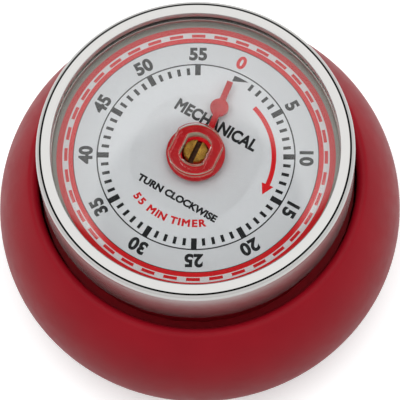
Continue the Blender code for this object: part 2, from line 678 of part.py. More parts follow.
def make_bell():
    """Gong cup on a post whose upper end is also the main arbor's lower bearing."""
    straight_z = BELL_RIM_Z - BELL_STRAIGHT
    depth = straight_z - BELL_FLOOR_Z
    width = BELL_RADIUS - BELL_FLAT

    def curve(wall):
        points = []
        for i in range(4):
            turn = math.radians(90.0 * i / 3)
            points.append((BELL_FLAT + (width - wall) * math.cos(turn),
                           straight_z - (depth - wall) * math.sin(turn)))
        return points

    turned("bell", [(BELL_RADIUS, BELL_RIM_Z)] + curve(0) + [
        (SCREW_HOLE, BELL_FLOOR_Z), (SCREW_HOLE, BELL_FLOOR_Z + BELL_WALL)]
        + curve(BELL_WALL)[::-1]
        + [(BELL_RADIUS - BELL_WALL, BELL_RIM_Z)], BELL_METAL, SMOOTH)
    flange_z = REAR_PLATE_Z - GAP
    bearing = ARBOR_PIVOT + GAP
    bearing_z = flange_z - BEARING_DEPTH
    turned("bell_post", [
        (0, bearing_z), (bearing, bearing_z), (bearing, REAR_PLATE_Z + PLATE_THICKNESS),
        (POST_NECK, REAR_PLATE_Z + PLATE_THICKNESS), (POST_NECK, flange_z),
        (POST_FLANGE, flange_z), (POST_FLANGE, flange_z - POST_FLANGE_HEIGHT),
        (POST_RADIUS, flange_z - POST_FLANGE_HEIGHT), (POST_RADIUS, POST_FOOT_Z),
        (SCREW_HOLE, POST_FOOT_Z), (SCREW_HOLE, POST_FOOT_Z + THREAD_DEPTH),
        (0, POST_FOOT_Z + THREAD_DEPTH),
    ], BRASS, ROUND)
    screw("bell_screw", Vector((0.0, 0.0)), BELL_FLOOR_Z - GAP,
          POST_FOOT_Z + THREAD_DEPTH - GAP, -1, BELL_HEAD, BELL_HEAD_HEIGHT)
    return bearing_z


def make_dial():
    """Moulded carrier that hides the movement, the printed dial on it and its two screws."""
    underside = CARRIER_TOP_Z - CARRIER_TOP
    inside = CARRIER_RADIUS - CARRIER_WALL
    flange = MOUTH_RADIUS - GAP
    flange_top = CARRIER_SKIRT_Z + CARRIER_FLANGE
    floor_top = CARRIER_FLOOR_Z + CARRIER_FLOOR
    centre = ARBOR_RADIUS + 2 * GAP
    carrier = turned("dial_carrier", [
        (CARRIER_RADIUS, CARRIER_TOP_Z), (CARRIER_RADIUS, flange_top), (flange, flange_top),
        (flange, CARRIER_SKIRT_Z), (inside, CARRIER_SKIRT_Z), (inside, underside),
        (CARRIER_PLATFORM, underside), (CARRIER_PLATFORM, CARRIER_FLOOR_Z),
        (centre, CARRIER_FLOOR_Z), (centre, floor_top),
        (CARRIER_PLATFORM - CARRIER_FLOOR, floor_top),
        (CARRIER_PLATFORM - CARRIER_FLOOR, CARRIER_TOP_Z),
    ], RED_MOULDING, SMOOTH)
    for number, angle in enumerate(DIAL_SCREW_ANGLES, 1):
        place = polar(DIAL_SCREW_RING, angle)
        hole = cutter(SCREW_HOLE, CARRIER_FLOOR_Z, floor_top)
        tool = turned(f"carrier_hole_{number}", hole, None, SMALL, None, place)
        combine(carrier, tool, "DIFFERENCE")
        screw(f"dial_screw_{number}", place, floor_top + GAP, FRONT_PLATE_Z, 1)
    turned("dial", [
        (DIAL_RADIUS, DIAL_Z + DIAL_THICKNESS), (DIAL_RADIUS, DIAL_Z), (centre, DIAL_Z),
        (centre, DIAL_Z + DIAL_THICKNESS),
    ], PRINTED_DIAL, SMOOTH)


def lens_top(radius):
    """Height of the lens's upper face at a radius."""
    return LENS_TOP_Z + LENS_RISE * max(0.0, 1 - (radius / SIGHT_RADIUS) ** 2)


def make_ring(bearing_z):
    """Everything that turns with the ring: lens, bead, pointer, arbor, clutch and cam."""
    axis = axis_empty("ring_axis")
    inner = RING_RADIUS - RING_WALL
    shoulder = arc((RING_RADIUS - RING_SHOULDER, RING_TOP_Z - RING_SHOULDER),
                   RING_SHOULDER, 90, 0, 4)
    turned("bezel", shoulder + [
        (RING_RADIUS, RING_SKIRT_Z), (inner, RING_SKIRT_Z), (inner, FLANGE_UNDERSIDE_Z),
        (SIGHT_RADIUS, FLANGE_UNDERSIDE_Z), (SIGHT_RADIUS, RING_TOP_Z - SIGHT_EDGE),
        (SIGHT_RADIUS + SIGHT_BEVEL, RING_TOP_Z - SIGHT_EDGE + SIGHT_BEVEL),
    ], CHROME, SMOOTH, axis)
    turned("lens_ring", [
        (LENS_RADIUS, BEAD_TOP_Z), (LENS_RADIUS, BEAD_TOP_Z - BEAD_HEIGHT),
        (SIGHT_RADIUS, BEAD_TOP_Z - BEAD_HEIGHT), (SIGHT_RADIUS, BEAD_TOP_Z),
    ], CHROME, SMOOTH, axis)

    rings = (SIGHT_RADIUS, (SIGHT_RADIUS + BOSS_FLAT) / 2, BOSS_FLAT - BOSS_ROOT)
    lens = turned("lens", [(LENS_RADIUS, LENS_TOP_Z), (LENS_RADIUS, LENS_TOP_Z - LENS_THICKNESS)]
                  + [(r, lens_top(r) - LENS_THICKNESS) for r in rings]
                  + [(r, lens_top(r)) for r in rings[::-1]], CLEAR, SMOOTH, axis)
    turn = Matrix.Rotation(math.radians(ZERO_OFFSET), 2)
    boss_height = BOSS_TOP_Z - BOSS_FOOT_Z
    outer = [tuple(turn @ Vector(point)) for point in double_d(BOSS_RADIUS, BOSS_FLAT)]
    bore = [tuple(turn @ Vector(point)) for point in double_d(BOSS_BORE, BOSS_BORE_FLAT, 5)]
    boss = flat("lens_boss", [outer, bore], boss_height, BOSS_FOOT_Z, None)
    combine(lens, boss, "UNION")

    arm_angle = math.degrees(math.asin(POINTER_ARM / POINTER_DISC))
    moon_angle = math.degrees(math.asin(POINTER_ARM / MOON_RADIUS))
    outline = arc((0.0, 0.0), POINTER_DISC, arm_angle, 360 - arm_angle, ROUND + 1)
    outline += arc((MOON_PLACE, 0.0), MOON_RADIUS, 180 + moon_angle, 360 - moon_angle, 8)
    outline += [(POINTER_TIP, -POINTER_ARM), (POINTER_TIP, POINTER_ARM)]
    outline += arc((MOON_PLACE, 0.0), MOON_RADIUS, moon_angle, 180 - moon_angle, 8)
    aim = Matrix.Rotation(math.radians(90 + ZERO_OFFSET), 2)
    flat("pointer", [[tuple(aim @ Vector(point)) for point in outline],
                     circle(ARBOR_RADIUS + GAP, ROUND)],
         POINTER_THICKNESS, POINTER_Z, RED_MOULDING, axis)

    hub_low, hub_high = SPRING_Z - HUB_MARGIN, SPRING_Z + SPRING_HEIGHT + HUB_MARGIN
    arbor = turned("main_arbor", [
        (0, ARBOR_TOP_Z), (ARBOR_RADIUS - EDGE_BREAK, ARBOR_TOP_Z),
        (ARBOR_RADIUS, ARBOR_TOP_Z - EDGE_BREAK), (ARBOR_RADIUS, hub_high),
        (SPRING_HUB, hub_high), (SPRING_HUB, hub_low),
        (ARBOR_RADIUS, hub_low), (ARBOR_RADIUS, STAFF_LOW_Z), (ARBOR_PIVOT, STAFF_LOW_Z),
        (ARBOR_PIVOT, bearing_z + GAP), (0, bearing_z + GAP),
    ], BRASS, ROUND, axis)
    bar = flat("arbor_slot", [slot_outline(ARBOR_RADIUS, SLOT_WIDTH, 90 + ZERO_OFFSET)],
               2 * SLOT_DEPTH, ARBOR_TOP_Z - SLOT_DEPTH, None)
    combine(arbor, bar, "DIFFERENCE")

    bore = circle(ARBOR_RADIUS + GAP, ROUND)
    lobes = [tuple(polar(CLUTCH_RADIUS - CLUTCH_WAVE * (i % 2), i * 180.0 / CLUTCH_LOBES))
             for i in range(2 * CLUTCH_LOBES)]
    flat("clutch_washer", [lobes, bore], CLUTCH_THICKNESS, CLUTCH_Z, BLUE_STEEL, axis)
    rim = arc((0.0, 0.0), CAM_RADIUS, DETENT_NOSE_ANGLE + CAM_NOTCH_HALF,
              DETENT_NOSE_ANGLE + 360 - CAM_NOTCH_HALF, ROUND + 5)
    floor = arc((0.0, 0.0), CAM_RADIUS - CAM_NOTCH, DETENT_NOSE_ANGLE - CAM_NOTCH_HALF,
                DETENT_NOSE_ANGLE + CAM_NOTCH_HALF, 3)
    flat("cam", [rim + floor, bore], STRIP_METAL, CAM_Z, STEEL, axis)


def make_mainspring():
    """Flat spiral round the arbor's hub, with its outer end led to the second pillar."""
    start = SPRING_HUB + GAP + SPRING_STRIP / 2 + SPRING_START
    end = BALANCE_RING - BALANCE_RADIUS - SPRING_MARGIN
    steps = SPRING_TURNS * SPRING_STEPS
    end_angle = PILLAR_ANGLES[1] - SPRING_LEAD_TURN
    path = []
    for i in range(steps + 1):
        angle = end_angle - (steps - i) * 360.0 / SPRING_STEPS
        path.append(tuple(polar(start + (end - start) * i / steps, angle)))
    hook_ring = PILLAR_RING - PILLAR_RADIUS - GAP - SPRING_HOOK
    path.append(tuple(polar(hook_ring, PILLAR_ANGLES[1] - SPRING_HOOK_TURN)))
    flat("mainspring", [strip(path, SPRING_STRIP / 2, 3)], SPRING_HEIGHT, SPRING_Z, BLUE_STEEL)


def staff(name, axis, pinion=None, low=STAFF_LOW_Z, low_pivot=True):
    """Arbor between the plates with a pivot at each end, and a pinion cut on it if it has one."""
    high_end = STAFF_HIGH_Z + PIVOT_REACH
    profile = [(0, high_end), (PIVOT_RADIUS, high_end), (PIVOT_RADIUS, STAFF_HIGH_Z),
               (STAFF_RADIUS, STAFF_HIGH_Z), (STAFF_RADIUS, low)]
    if low_pivot:
        profile += [(PIVOT_RADIUS, low), (PIVOT_RADIUS, low - PIVOT_REACH), (0, low - PIVOT_REACH)]
    else:
        profile += [(0, low)]
    piece = turned(name, profile, STEEL, SMALL, axis)
    if pinion:
        leaves, module, towards, level = pinion
        place = Vector((axis.location.x / MM, axis.location.y / MM))
        tool = flat(f"{name}_leaves", [pinion_leaves(leaves, module, towards)],
                    STRIP_METAL + 2 * LEAF_OVERLAP, level - LEAF_OVERLAP, None, None, place)
        combine(piece, tool, "UNION")
    return piece


def make_train():
    """Main, second, third and escape wheels, and the striking star."""
    main_axis = axis_empty("main_wheel_axis")
    second = axis_empty("second_axis", SECOND_PLACE)
    third = axis_empty("third_axis", THIRD_PLACE)
    escape = axis_empty("escape_axis", ESCAPE_PLACE)
    strike = axis_empty("strike_axis", STRIKE_PLACE)
    bore = circle(WHEEL_BORE)
    main_root = MAIN_MODULE * (MAIN_TEETH / 2 - DEDENDUM)
    fine_root = FINE_MODULE * (FINE_TEETH / 2 - DEDENDUM)
    main_holes = crossings(5, MAIN_HUB, main_root - MAIN_RIM)
    fine_holes = crossings(4, FINE_HUB, fine_root - FINE_RIM)

    flat("main_wheel", [wheel_teeth(MAIN_TEETH, MAIN_MODULE, SECOND_ANGLE),
                        circle(ARBOR_RADIUS + GAP, ROUND)] + main_holes,
         STRIP_METAL, MAIN_WHEEL_Z, BRASS, main_axis)
    staff("second_pinion", second, (MAIN_LEAVES, MAIN_MODULE, SECOND_ANGLE + 180, MAIN_WHEEL_Z))
    towards_third = heading(THIRD_PLACE - SECOND_PLACE)
    flat("second_wheel", [wheel_teeth(FINE_TEETH, FINE_MODULE, towards_third), bore] + fine_holes,
         STRIP_METAL, SECOND_WHEEL_Z, BRASS, second)
    staff("third_pinion", third, (FINE_LEAVES, FINE_MODULE, towards_third + 180, SECOND_WHEEL_Z))
    towards_escape = heading(ESCAPE_PLACE - THIRD_PLACE)
    flat("third_wheel", [wheel_teeth(FINE_TEETH, FINE_MODULE, towards_escape), bore] + fine_holes,
         STRIP_METAL, THIRD_WHEEL_Z, BRASS, third)
    staff("escape_pinion", escape, (FINE_LEAVES, FINE_MODULE, towards_escape + 180, THIRD_WHEEL_Z))
    flat("escape_wheel", [pointed_wheel(ESCAPE_TEETH, ESCAPE_RADIUS, ESCAPE_ROOT, 0.3), bore],
         STRIP_METAL, BEAT_Z, BRASS, escape)
    staff("strike_pinion", strike, (MAIN_LEAVES, MAIN_MODULE, STRIKE_ANGLE + 180, MAIN_WHEEL_Z))
    flat("strike_wheel", [pointed_wheel(STAR_TEETH, STAR_RADIUS, STAR_ROOT, 0.0), bore],
         STRIP_METAL, BEAT_Z, STEEL, strike)


def make_balance():
    """Balance wheel and its two pallets on one staff."""
    axis = axis_empty("balance_axis", BALANCE_PLACE)
    staff("balance_staff", axis)
    inner = BALANCE_RADIUS - BALANCE_RIM
    half = BALANCE_SPOKE / 2
    edge = math.degrees(math.asin(half / inner))
    upper = arc((0.0, 0.0), inner, edge, 180 - edge, 9)
    lower = arc((0.0, 0.0), inner, 180 + edge, 360 - edge, 9)
    hub = STAFF_RADIUS + BALANCE_HUB
    hub_edge = math.degrees(math.asin(half / hub))
    upper += arc((0.0, 0.0), hub, 180 - hub_edge, hub_edge, 5)
    lower += arc((0.0, 0.0), hub, 360 - hub_edge, 180 + hub_edge, 5)
    flat("balance_wheel", [circle(BALANCE_RADIUS, ROUND), upper, lower, circle(WHEEL_BORE)],
         BALANCE_THICKNESS, BALANCE_Z, BRASS, axis)
    facing = heading(ESCAPE_PLACE - BALANCE_PLACE)
    flat("verge_pallets", [anchor(VERGE_REACH, VERGE_NOSE, facing), circle(WHEEL_BORE)],
         STRIP_METAL, BEAT_Z, STEEL, axis)


def make_hammer():
    """Hammer inside the bell, on an arbor that also carries its pallets and its catch."""
    axis = axis_empty("hammer_axis", HAMMER_PLACE)
    head_place = polar(HAMMER_HEAD_RING, HAMMER_HEAD_ANGLE) - HAMMER_PLACE
    low = HAMMER_ARM_Z - HAMMER_END
    staff("hammer_arbor", axis, None, low, False)
    flat("hammer_arm", [strip([(0.0, 0.0), tuple(head_place)], HAMMER_HUB, 9),
                        circle(WHEEL_BORE), circle(WHEEL_BORE, SMALL, head_place)],
         STRIP_METAL, HAMMER_ARM_Z, STEEL, axis)
    seat = HAMMER_ARM_Z + STRIP_METAL + GAP
    head_top = seat + HAMMER_HEAD_HEIGHT
    turned("hammer_head", [
        (0, head_top), (HAMMER_HEAD_RADIUS - HAMMER_BEVEL, head_top),
        (HAMMER_HEAD_RADIUS, head_top - HAMMER_BEVEL), (HAMMER_HEAD_RADIUS, seat),
        (STAFF_RADIUS, seat), (STAFF_RADIUS, low), (0, low),
    ], BRASS, ROUND, axis, head_place)
    facing = heading(STRIKE_PLACE - HAMMER_PLACE)
    flat("hammer_pallets", [anchor(HAMMER_REACH, HAMMER_NOSE, facing), circle(WHEEL_BORE)],
         STRIP_METAL, BEAT_Z, STEEL, axis)
    catch = polar(CATCH_REACH, heading(DETENT_PLACE - HAMMER_PLACE))
    flat("hammer_catch", [strip([(0.0, 0.0), tuple(catch)], CATCH_HALF_WIDTH, 9), circle(WHEEL_BORE)],
         STRIP_METAL, CAM_Z, STEEL, axis)


def make_detent():
    """Lever whose nose rides on the cam and whose tail holds the hammer's catch."""
    axis = axis_empty("detent_axis", DETENT_PLACE)
    nose_ring = CAM_RADIUS + DETENT_LIFT_GAP + DETENT_HALF_WIDTH
    nose = polar(nose_ring, DETENT_NOSE_ANGLE) - DETENT_PLACE
    tail = polar(DETENT_TAIL, heading(HAMMER_PLACE - DETENT_PLACE))
    lever = strip([tuple(nose), (0.0, 0.0), tuple(tail)], DETENT_HALF_WIDTH, 5)
    piece = flat("detent_lever", [lever], STRIP_METAL, CAM_Z, STEEL, axis)
    piece = as_piece(piece, axis)
    hub = flat("detent_hub", [circle(DETENT_HUB, ROUND)], STRIP_METAL, CAM_Z, None, None,
               DETENT_PLACE)
    combine(piece, hub, "UNION")
    hole = flat("detent_hole", [circle(SCREW_HOLE)], STRIP_METAL * 2, CAM_Z - STRIP_METAL / 2,
                None, None, DETENT_PLACE)
    combine(piece, hole, "DIFFERENCE")
    head_z = CAM_Z - GAP
    end_z = FRONT_PLATE_Z + PLATE_THICKNESS - PIVOT_SHORT
    turned("detent_post", [
        (0, end_z), (SCREW_RADIUS, end_z), (SCREW_RADIUS, head_z), (DETENT_HUB, head_z),
        (DETENT_HUB, head_z - DETENT_HEAD), (0, head_z - DETENT_HEAD),
    ], STEEL, SMALL, None, DETENT_PLACE)


def as_piece(obj, parent):
    """Turn a curve piece into a mesh piece, so that it can be cut and joined."""
    height = obj.location.z
    materials = [slot.material for slot in obj.material_slots]
    solid = as_mesh(obj)
    TIMER.objects.link(solid)
    solid.matrix_world = Matrix.Identity(4)
    solid.parent = parent
    solid.location = (0.0, 0.0, height)
    if not solid.data.materials:
        solid.data.materials.append(materials[0])
    return solid


def main():
    recess = make_shell()
    make_back(recess)
    make_frame()
    bearing_z = make_bell()
    make_dial()
    make_ring(bearing_z)
    make_mainspring()
    make_train()
    make_balance()
    make_hammer()
    make_detent()


main()
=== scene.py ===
"""Looks of a round mechanical kitchen timer: lacquered shell, chrome ring, printed dial.

Sizes in this file are millimetres, measured from the middle of the underside, with +Z up
through the dial and the zero minute mark towards +Y. Helpers turn them into metres.
"""
import json
import math
import bmesh
import bpy
from mathutils import Matrix, Vector


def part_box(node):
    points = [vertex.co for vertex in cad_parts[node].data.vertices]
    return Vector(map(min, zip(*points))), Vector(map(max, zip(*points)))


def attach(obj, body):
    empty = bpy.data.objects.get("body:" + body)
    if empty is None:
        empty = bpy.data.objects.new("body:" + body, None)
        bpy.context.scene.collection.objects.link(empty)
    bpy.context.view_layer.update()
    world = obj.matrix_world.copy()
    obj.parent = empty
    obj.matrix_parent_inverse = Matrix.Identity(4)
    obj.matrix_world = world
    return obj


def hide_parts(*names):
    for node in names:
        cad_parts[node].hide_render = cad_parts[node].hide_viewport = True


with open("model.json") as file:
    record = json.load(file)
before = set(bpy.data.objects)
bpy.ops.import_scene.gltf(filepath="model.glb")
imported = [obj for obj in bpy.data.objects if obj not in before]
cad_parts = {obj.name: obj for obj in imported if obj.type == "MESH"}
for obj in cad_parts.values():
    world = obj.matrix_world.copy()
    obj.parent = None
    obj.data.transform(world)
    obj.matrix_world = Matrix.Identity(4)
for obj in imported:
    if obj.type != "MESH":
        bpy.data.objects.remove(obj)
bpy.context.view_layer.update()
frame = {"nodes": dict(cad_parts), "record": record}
MM = 0.001

# ---------------------------------------------------------------- sizes read from the frame


def edge(node, side, axis):
    """A CAD node's lowest (side 0) or highest (side 1) place along an axis, in millimetres."""
    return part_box(node)[side][axis] / MM


def foot(node):
    """Height of a node's lowest place."""
    return edge(node, 0, 2)


def top(node):
    """Height of a node's highest place."""
    return edge(node, 1, 2)


def radius(node):
    """Outer radius of a round node that stands on the timer's axis."""
    return (edge(node, 1, 0) - edge(node, 0, 0)) / 2


def middle(node):
    """A node's middle in plan."""
    return Vector([(edge(node, 0, axis) + edge(node, 1, axis)) / 2 for axis in (0, 1)])


GAP = 0.3
SHELL_RADIUS = radius("body_shell")
EQUATOR_Z = 12.0
DOME_HEIGHT = 28.3
BOWL_DEPTH = 17.6
SHELL_WALL = 0.8
MOUTH_RADIUS = radius("dial_carrier") + GAP
LIP_REACH = 1.9
LIP_TAIL = 0.95
RIM_Z = foot("body_shell")
RIM_FOLD = 1.7
FLOOR_Z = 2.2
FLOOR_HOLE = 14.6  # radius of the hole in the shell's floor that the back cover's boss fills
LIP_BLEND = 4  # the inner wall stops this many degrees short of the curl
SIGHT_RADIUS = 24.0
RING_RADIUS = radius("bezel")
RING_TOP = top("bezel")
RING_WALL = 0.7
SHOULDER = 1.0
TOP_SLOPE = 3.5  # the ring's top falls outwards by this many degrees
FLANGE_UNDERSIDE = top("bezel") - 1.4
LENS_RADIUS = radius("lens")
LENS_THICKNESS = 1.2
LENS_RISE = 0.5
LENS_TOP = FLANGE_UNDERSIDE - GAP
LENS_HOLE = 3.6  # the sheet stops here, inside the boss
BOSS_RADIUS, BOSS_FLAT = 4.6, 4.08  # round part and half the distance across the flats
BORE_RADIUS, BORE_FLAT = 2.78, 2.15
DIAL_TOP = top("dial")
DIAL_RADIUS = radius("dial")
POINTER_TURN = 6.5  # the pointer rests this far before the zero mark, in degrees
POINTER_DISC = 4.9
ARBOR_RADIUS = 2.0
HUB_RADIUS = 3.0  # the mainspring is hooked to it
PIVOT_RADIUS = 1.0
SLOT_WIDTH = 0.9
SLOT_DEPTH = 1.2
FINE = 192  # steps round the large turned pieces
MEDIUM = 96
SMALL = 48

# ---------------------------------------------------------------- node helper and colours


def colour(code):
    """sRGB hex code to the linear colour that a shader takes."""
    parts = (int(code[i:i + 2], 16) / 255 for i in (0, 2, 4))
    return (*(c / 12.92 if c <= 0.04045 else ((c + 0.055) / 1.055) ** 2.4 for c in parts), 1.0)


def add(tree, kind, inputs=None, **settings):
    """Add a node. inputs maps a socket's name or number to a value or to another's output."""
    node = tree.nodes.new(kind)
    for key, value in settings.items():
        setattr(node, key, value)
    for key, value in (inputs or {}).items():
        if isinstance(value, bpy.types.NodeSocket):
            tree.links.new(value, node.inputs[key])
        else:
            node.inputs[key].default_value = value
    return node


def start_finish(name, code, rough, metal=0.0, **sockets):
    """A material with its Principled shader, and that shader's constant sockets set."""
    material = bpy.data.materials.new(name)
    material.use_nodes = True
    tree = material.node_tree
    shader = tree.nodes["Principled BSDF"]
    shader.inputs["Base Color"].default_value = colour(code)
    shader.inputs["Roughness"].default_value = rough
    shader.inputs["Metallic"].default_value = metal
    for key, value in sockets.items():
        shader.inputs[key.replace("_", " ").title().replace("Ior", "IOR")].default_value = value
    return material, tree, shader


def grain(tree, size, detail=2.0, stretch=(1.0, 1.0, 1.0)):
    """Noise whose blotches are about size millimetres across, stretched along the axes."""
    place = add(tree, "ShaderNodeTexCoord")
    mapping = add(tree, "ShaderNodeMapping", {0: place.outputs["Object"], "Scale": stretch})
    return add(tree, "ShaderNodeTexNoise",
               {"Vector": mapping.outputs[0], "Scale": 1 / (size * MM), "Detail": detail})


def vary_colour(tree, shader, source, dark, light):
    """Base colour that wanders between two hex codes with a 0 to 1 source."""
    ramp = add(tree, "ShaderNodeValToRGB", {0: source})
    ramp.color_ramp.elements[0].position = 0.3
    ramp.color_ramp.elements[1].position = 0.7
    ramp.color_ramp.elements[0].color = colour(dark)
    ramp.color_ramp.elements[1].color = colour(light)
    tree.links.new(ramp.outputs[0], shader.inputs["Base Color"])


def vary_roughness(tree, shader, source, smooth, rough):
    """Roughness that wanders between two values with a 0 to 1 source."""
    spread = add(tree, "ShaderNodeMapRange",
                 {0: source, "From Min": 0.3, "From Max": 0.7, "To Min": smooth, "To Max": rough})
    tree.links.new(spread.outputs[0], shader.inputs["Roughness"])


def relief(tree, shader, source, depth, strength=1.0):
    """Bump of depth millimetres from a 0 to 1 source."""
    bump = add(tree, "ShaderNodeBump",
               {"Height": source, "Distance": depth * MM, "Strength": strength})
    tree.links.new(bump.outputs[0], shader.inputs["Normal"])


def turning_lines(tree, pitch):
    """Rings about the timer's axis, as a lathe tool leaves them, pitch millimetres apart."""
    place = add(tree, "ShaderNodeTexCoord")
    return add(tree, "ShaderNodeTexWave",
               {"Vector": place.outputs["Object"], "Scale": 1 / (pitch * MM) / 3.2,
                "Distortion": 0.6, "Detail": 1.0},
               wave_type="RINGS", rings_direction="Z")

# ---------------------------------------------------------------- finishes


def stoved_lacquer():
    """Stoved satin enamel on pressed steel: deep red with a soft sheen and a faint orange peel."""
    material, tree, shader = start_finish(
        "stoved_satin_lacquer", "95101F", 0.36, specular_ior_level=0.14)
    cloud = grain(tree, 9.0)
    vary_colour(tree, shader, cloud.outputs[0], "910F1E", "991120")
    vary_roughness(tree, shader, grain(tree, 2.5, 3.0).outputs[0], 0.34, 0.42)
    relief(tree, shader, grain(tree, 0.9, 1.0).outputs[0], 0.006)
    return material


def bright_chrome():
    """Chrome plate: the ring's top is polished, and its wall and bore are satin, with fine
    turning lines."""
    satin_below, polished_above = RING_TOP - 1.9, RING_TOP - 0.7
    wall_satin, bore_satin = 0.22, 0.4
    material, tree, shader = start_finish("polished_and_satin_chrome", "C8C7C5", 0.08, 1.0)
    place = add(tree, "ShaderNodeTexCoord").outputs["Object"]
    height = add(tree, "ShaderNodeSeparateXYZ", {0: place}).outputs["Z"]
    rubbed = add(tree, "ShaderNodeMapRange", {
        0: grain(tree, 1.5, 4.0).outputs[0], "From Min": 0.3, "From Max": 0.7,
        "To Min": 0.01, "To Max": 0.03}).outputs[0]
    top_share = add(tree, "ShaderNodeMapRange", {
        "Value": height, "From Min": satin_below * MM, "From Max": polished_above * MM,
        "To Min": wall_satin, "To Max": 0.0}).outputs[0]
    level = add(tree, "ShaderNodeVectorMath", {0: place, 1: (1.0, 1.0, 0.0)},
                operation="MULTIPLY").outputs["Vector"]
    reach = add(tree, "ShaderNodeVectorMath", {0: level}, operation="LENGTH").outputs["Value"]
    bore_share = add(tree, "ShaderNodeMapRange", {
        "Value": reach, "From Min": (SIGHT_RADIUS + 0.02) * MM,
        "From Max": (SIGHT_RADIUS + 0.06) * MM, "To Min": bore_satin, "To Max": 0.0}).outputs[0]
    satin = add(tree, "ShaderNodeMath", {0: top_share, 1: bore_share}, operation="MAXIMUM")
    rough = add(tree, "ShaderNodeMath", {0: rubbed, 1: satin.outputs[0]},
                operation="ADD").outputs[0]
    tree.links.new(rough, shader.inputs["Roughness"])
    lines = grain(tree, 0.2, 2.0, (0.2, 0.2, 3.0))
    relief(tree, shader, lines.outputs[0], 0.0004)
    return material


def clear_styrene():
    """Moulded clear styrene: glassy, faintly warm, with a slight haze from handling."""
    material, tree, shader = start_finish(
        "clear_moulded_styrene", "FBFCFA", 0.02, transmission_weight=1.0)
    shader.inputs["IOR"].default_value = 1.52
    vary_roughness(tree, shader, grain(tree, 5.0, 3.0).outputs[0], 0.0, 0.02)
    return material


def clear_edge():
    """Side walls of the moulded boss: the same styrene, milky where the mould was left matt, and its
    pale beige is also a painted reflection of the bright surround that the walls catch at a grazing
    angle.
    """
    material, tree, shader = start_finish(
        "matt_edge_and_painted_sheen_styrene", "C9C8B4", 0.2, transmission_weight=0.3)
    vary_colour(tree, shader, grain(tree, 1.2, 3.0).outputs[0], "B7B29A", "CFCAB6")
    vary_roughness(tree, shader, grain(tree, 0.6).outputs[0], 0.14, 0.28)
    return material


def dial_paint():
    """Silver-white paint on an aluminium disc: satin, with metal flake too fine to see singly,
    so it is drawn as a 0.25 mm mottle."""
    material, tree, shader = start_finish(
        "silver_white_dial_paint", "DCDEE3", 0.42, 0.1, specular_ior_level=0.3)
    vary_colour(tree, shader, grain(tree, 0.25, 2.0).outputs[0], "D9DBE0", "DFE1E6")
    vary_roughness(tree, shader, grain(tree, 4.0).outputs[0], 0.38, 0.46)
    return material


def screen_ink(name, dark, light):
    """Screen printed ink: an even, slightly glossy film with a faint mesh mottle."""
    material, tree, shader = start_finish(name, light, 0.4, specular_ior_level=0.15)
    mottle = grain(tree, 0.3, 2.0)
    vary_colour(tree, shader, mottle.outputs[0], dark, light)
    relief(tree, shader, mottle.outputs[0], 0.004)
    return material


def pointer_styrene():
    """Moulded red styrene: glossy, with slow flow marks from the gate."""
    material, tree, shader = start_finish(
        "red_moulded_styrene", "BC0A16", 0.22, specular_ior_level=0.2)
    flow = grain(tree, 2.5, 3.0, (1.0, 2.5, 1.0))
    vary_colour(tree, shader, flow.outputs[0], "B40814", "C40C18")
    vary_roughness(tree, shader, grain(tree, 0.8).outputs[0], 0.18, 0.3)
    return material


def neck_styrene():
    """Moulded red styrene of the dial carrier, darkened as painted shade of the narrow gap under the
    ring, with a matt spark-eroded surface that hides the joint.
    """
    material, tree, shader = start_finish(
        "red_styrene_darkened_as_painted_shade", "7E0512", 0.45, specular_ior_level=0.2)
    vary_colour(tree, shader, grain(tree, 0.8, 3.0).outputs[0], "780410", "850614")
    vary_roughness(tree, shader, grain(tree, 0.4).outputs[0], 0.4, 0.52)
    return material


def turned_brass():
    """Brass bar turned on a lathe: fine rings, darker where it has tarnished."""
    material, tree, shader = start_finish("turned_brass", "B8893E", 0.28, 1.0)
    vary_colour(tree, shader, grain(tree, 1.2, 4.0).outputs[0], "8F642B", "CFA04C")
    vary_roughness(tree, shader, grain(tree, 0.6, 3.0).outputs[0], 0.2, 0.38)
    relief(tree, shader, turning_lines(tree, 0.25).outputs[0], 0.004)
    return material


def grimy_brass():
    """Brass in the driver slot: a dark brown that is painted shade down the narrow slot, with dull
    patches.
    """
    material, tree, shader = start_finish("brass_darkened_as_slot_shade", "4A2A16", 0.6, 0.35)
    vary_colour(tree, shader, grain(tree, 0.5, 3.0).outputs[0], "33190E", "5E3A1C")
    return material


def stamped_brass():
    """Rolled brass sheet, stamped to wheels: fine rolling lines along X."""
    material, tree, shader = start_finish("stamped_brass_sheet", "CFA95A", 0.3, 1.0)
    lines = grain(tree, 0.35, 3.0, (0.04, 1.0, 1.0))
    vary_colour(tree, shader, lines.outputs[0], "BF9648", "D8B568")
    vary_roughness(tree, shader, lines.outputs[0], 0.24, 0.4)
    return material


def zinc_steel():
    """Zinc plated steel: cool grey with a fine rolled grain."""
    material, tree, shader = start_finish("zinc_plated_steel", "A9ACB0", 0.34, 1.0)
    lines = grain(tree, 0.3, 3.0, (1.0, 0.05, 1.0))
    vary_colour(tree, shader, lines.outputs[0], "9A9DA2", "B6B8BB")
    vary_roughness(tree, shader, lines.outputs[0], 0.28, 0.42)
    return material


def blued_steel():
    """Tempered spring steel: blue oxide that drifts to violet and straw."""
    material, tree, shader = start_finish("blued_spring_steel", "39445F", 0.26, 1.0)
    vary_colour(tree, shader, grain(tree, 3.0, 2.0).outputs[0], "2C3A5E", "5A4F63")
    vary_roughness(tree, shader, grain(tree, 0.5).outputs[0], 0.2, 0.34)
    return material


def nickel_bell():
    """Nickel plate on a spun steel gong: bright, with spinning lines round its axis."""
    material, tree, shader = start_finish("nickel_plated_gong", "C4BFB4", 0.2, 1.0)
    lines = turning_lines(tree, 0.5)
    vary_roughness(tree, shader, lines.outputs[0], 0.16, 0.28)
    relief(tree, shader, lines.outputs[0], 0.003)
    return material


def black_moulding():
    """Black ABS from a spark-eroded mould: matt, with a 0.3 mm stipple."""
    material, tree, shader = start_finish("black_stippled_abs", "17181A", 0.5)
    stipple = grain(tree, 0.3, 1.0)
    vary_colour(tree, shader, grain(tree, 6.0).outputs[0], "141517", "1B1C1E")
    vary_roughness(tree, shader, stipple.outputs[0], 0.45, 0.58)
    relief(tree, shader, stipple.outputs[0], 0.02)
    return material


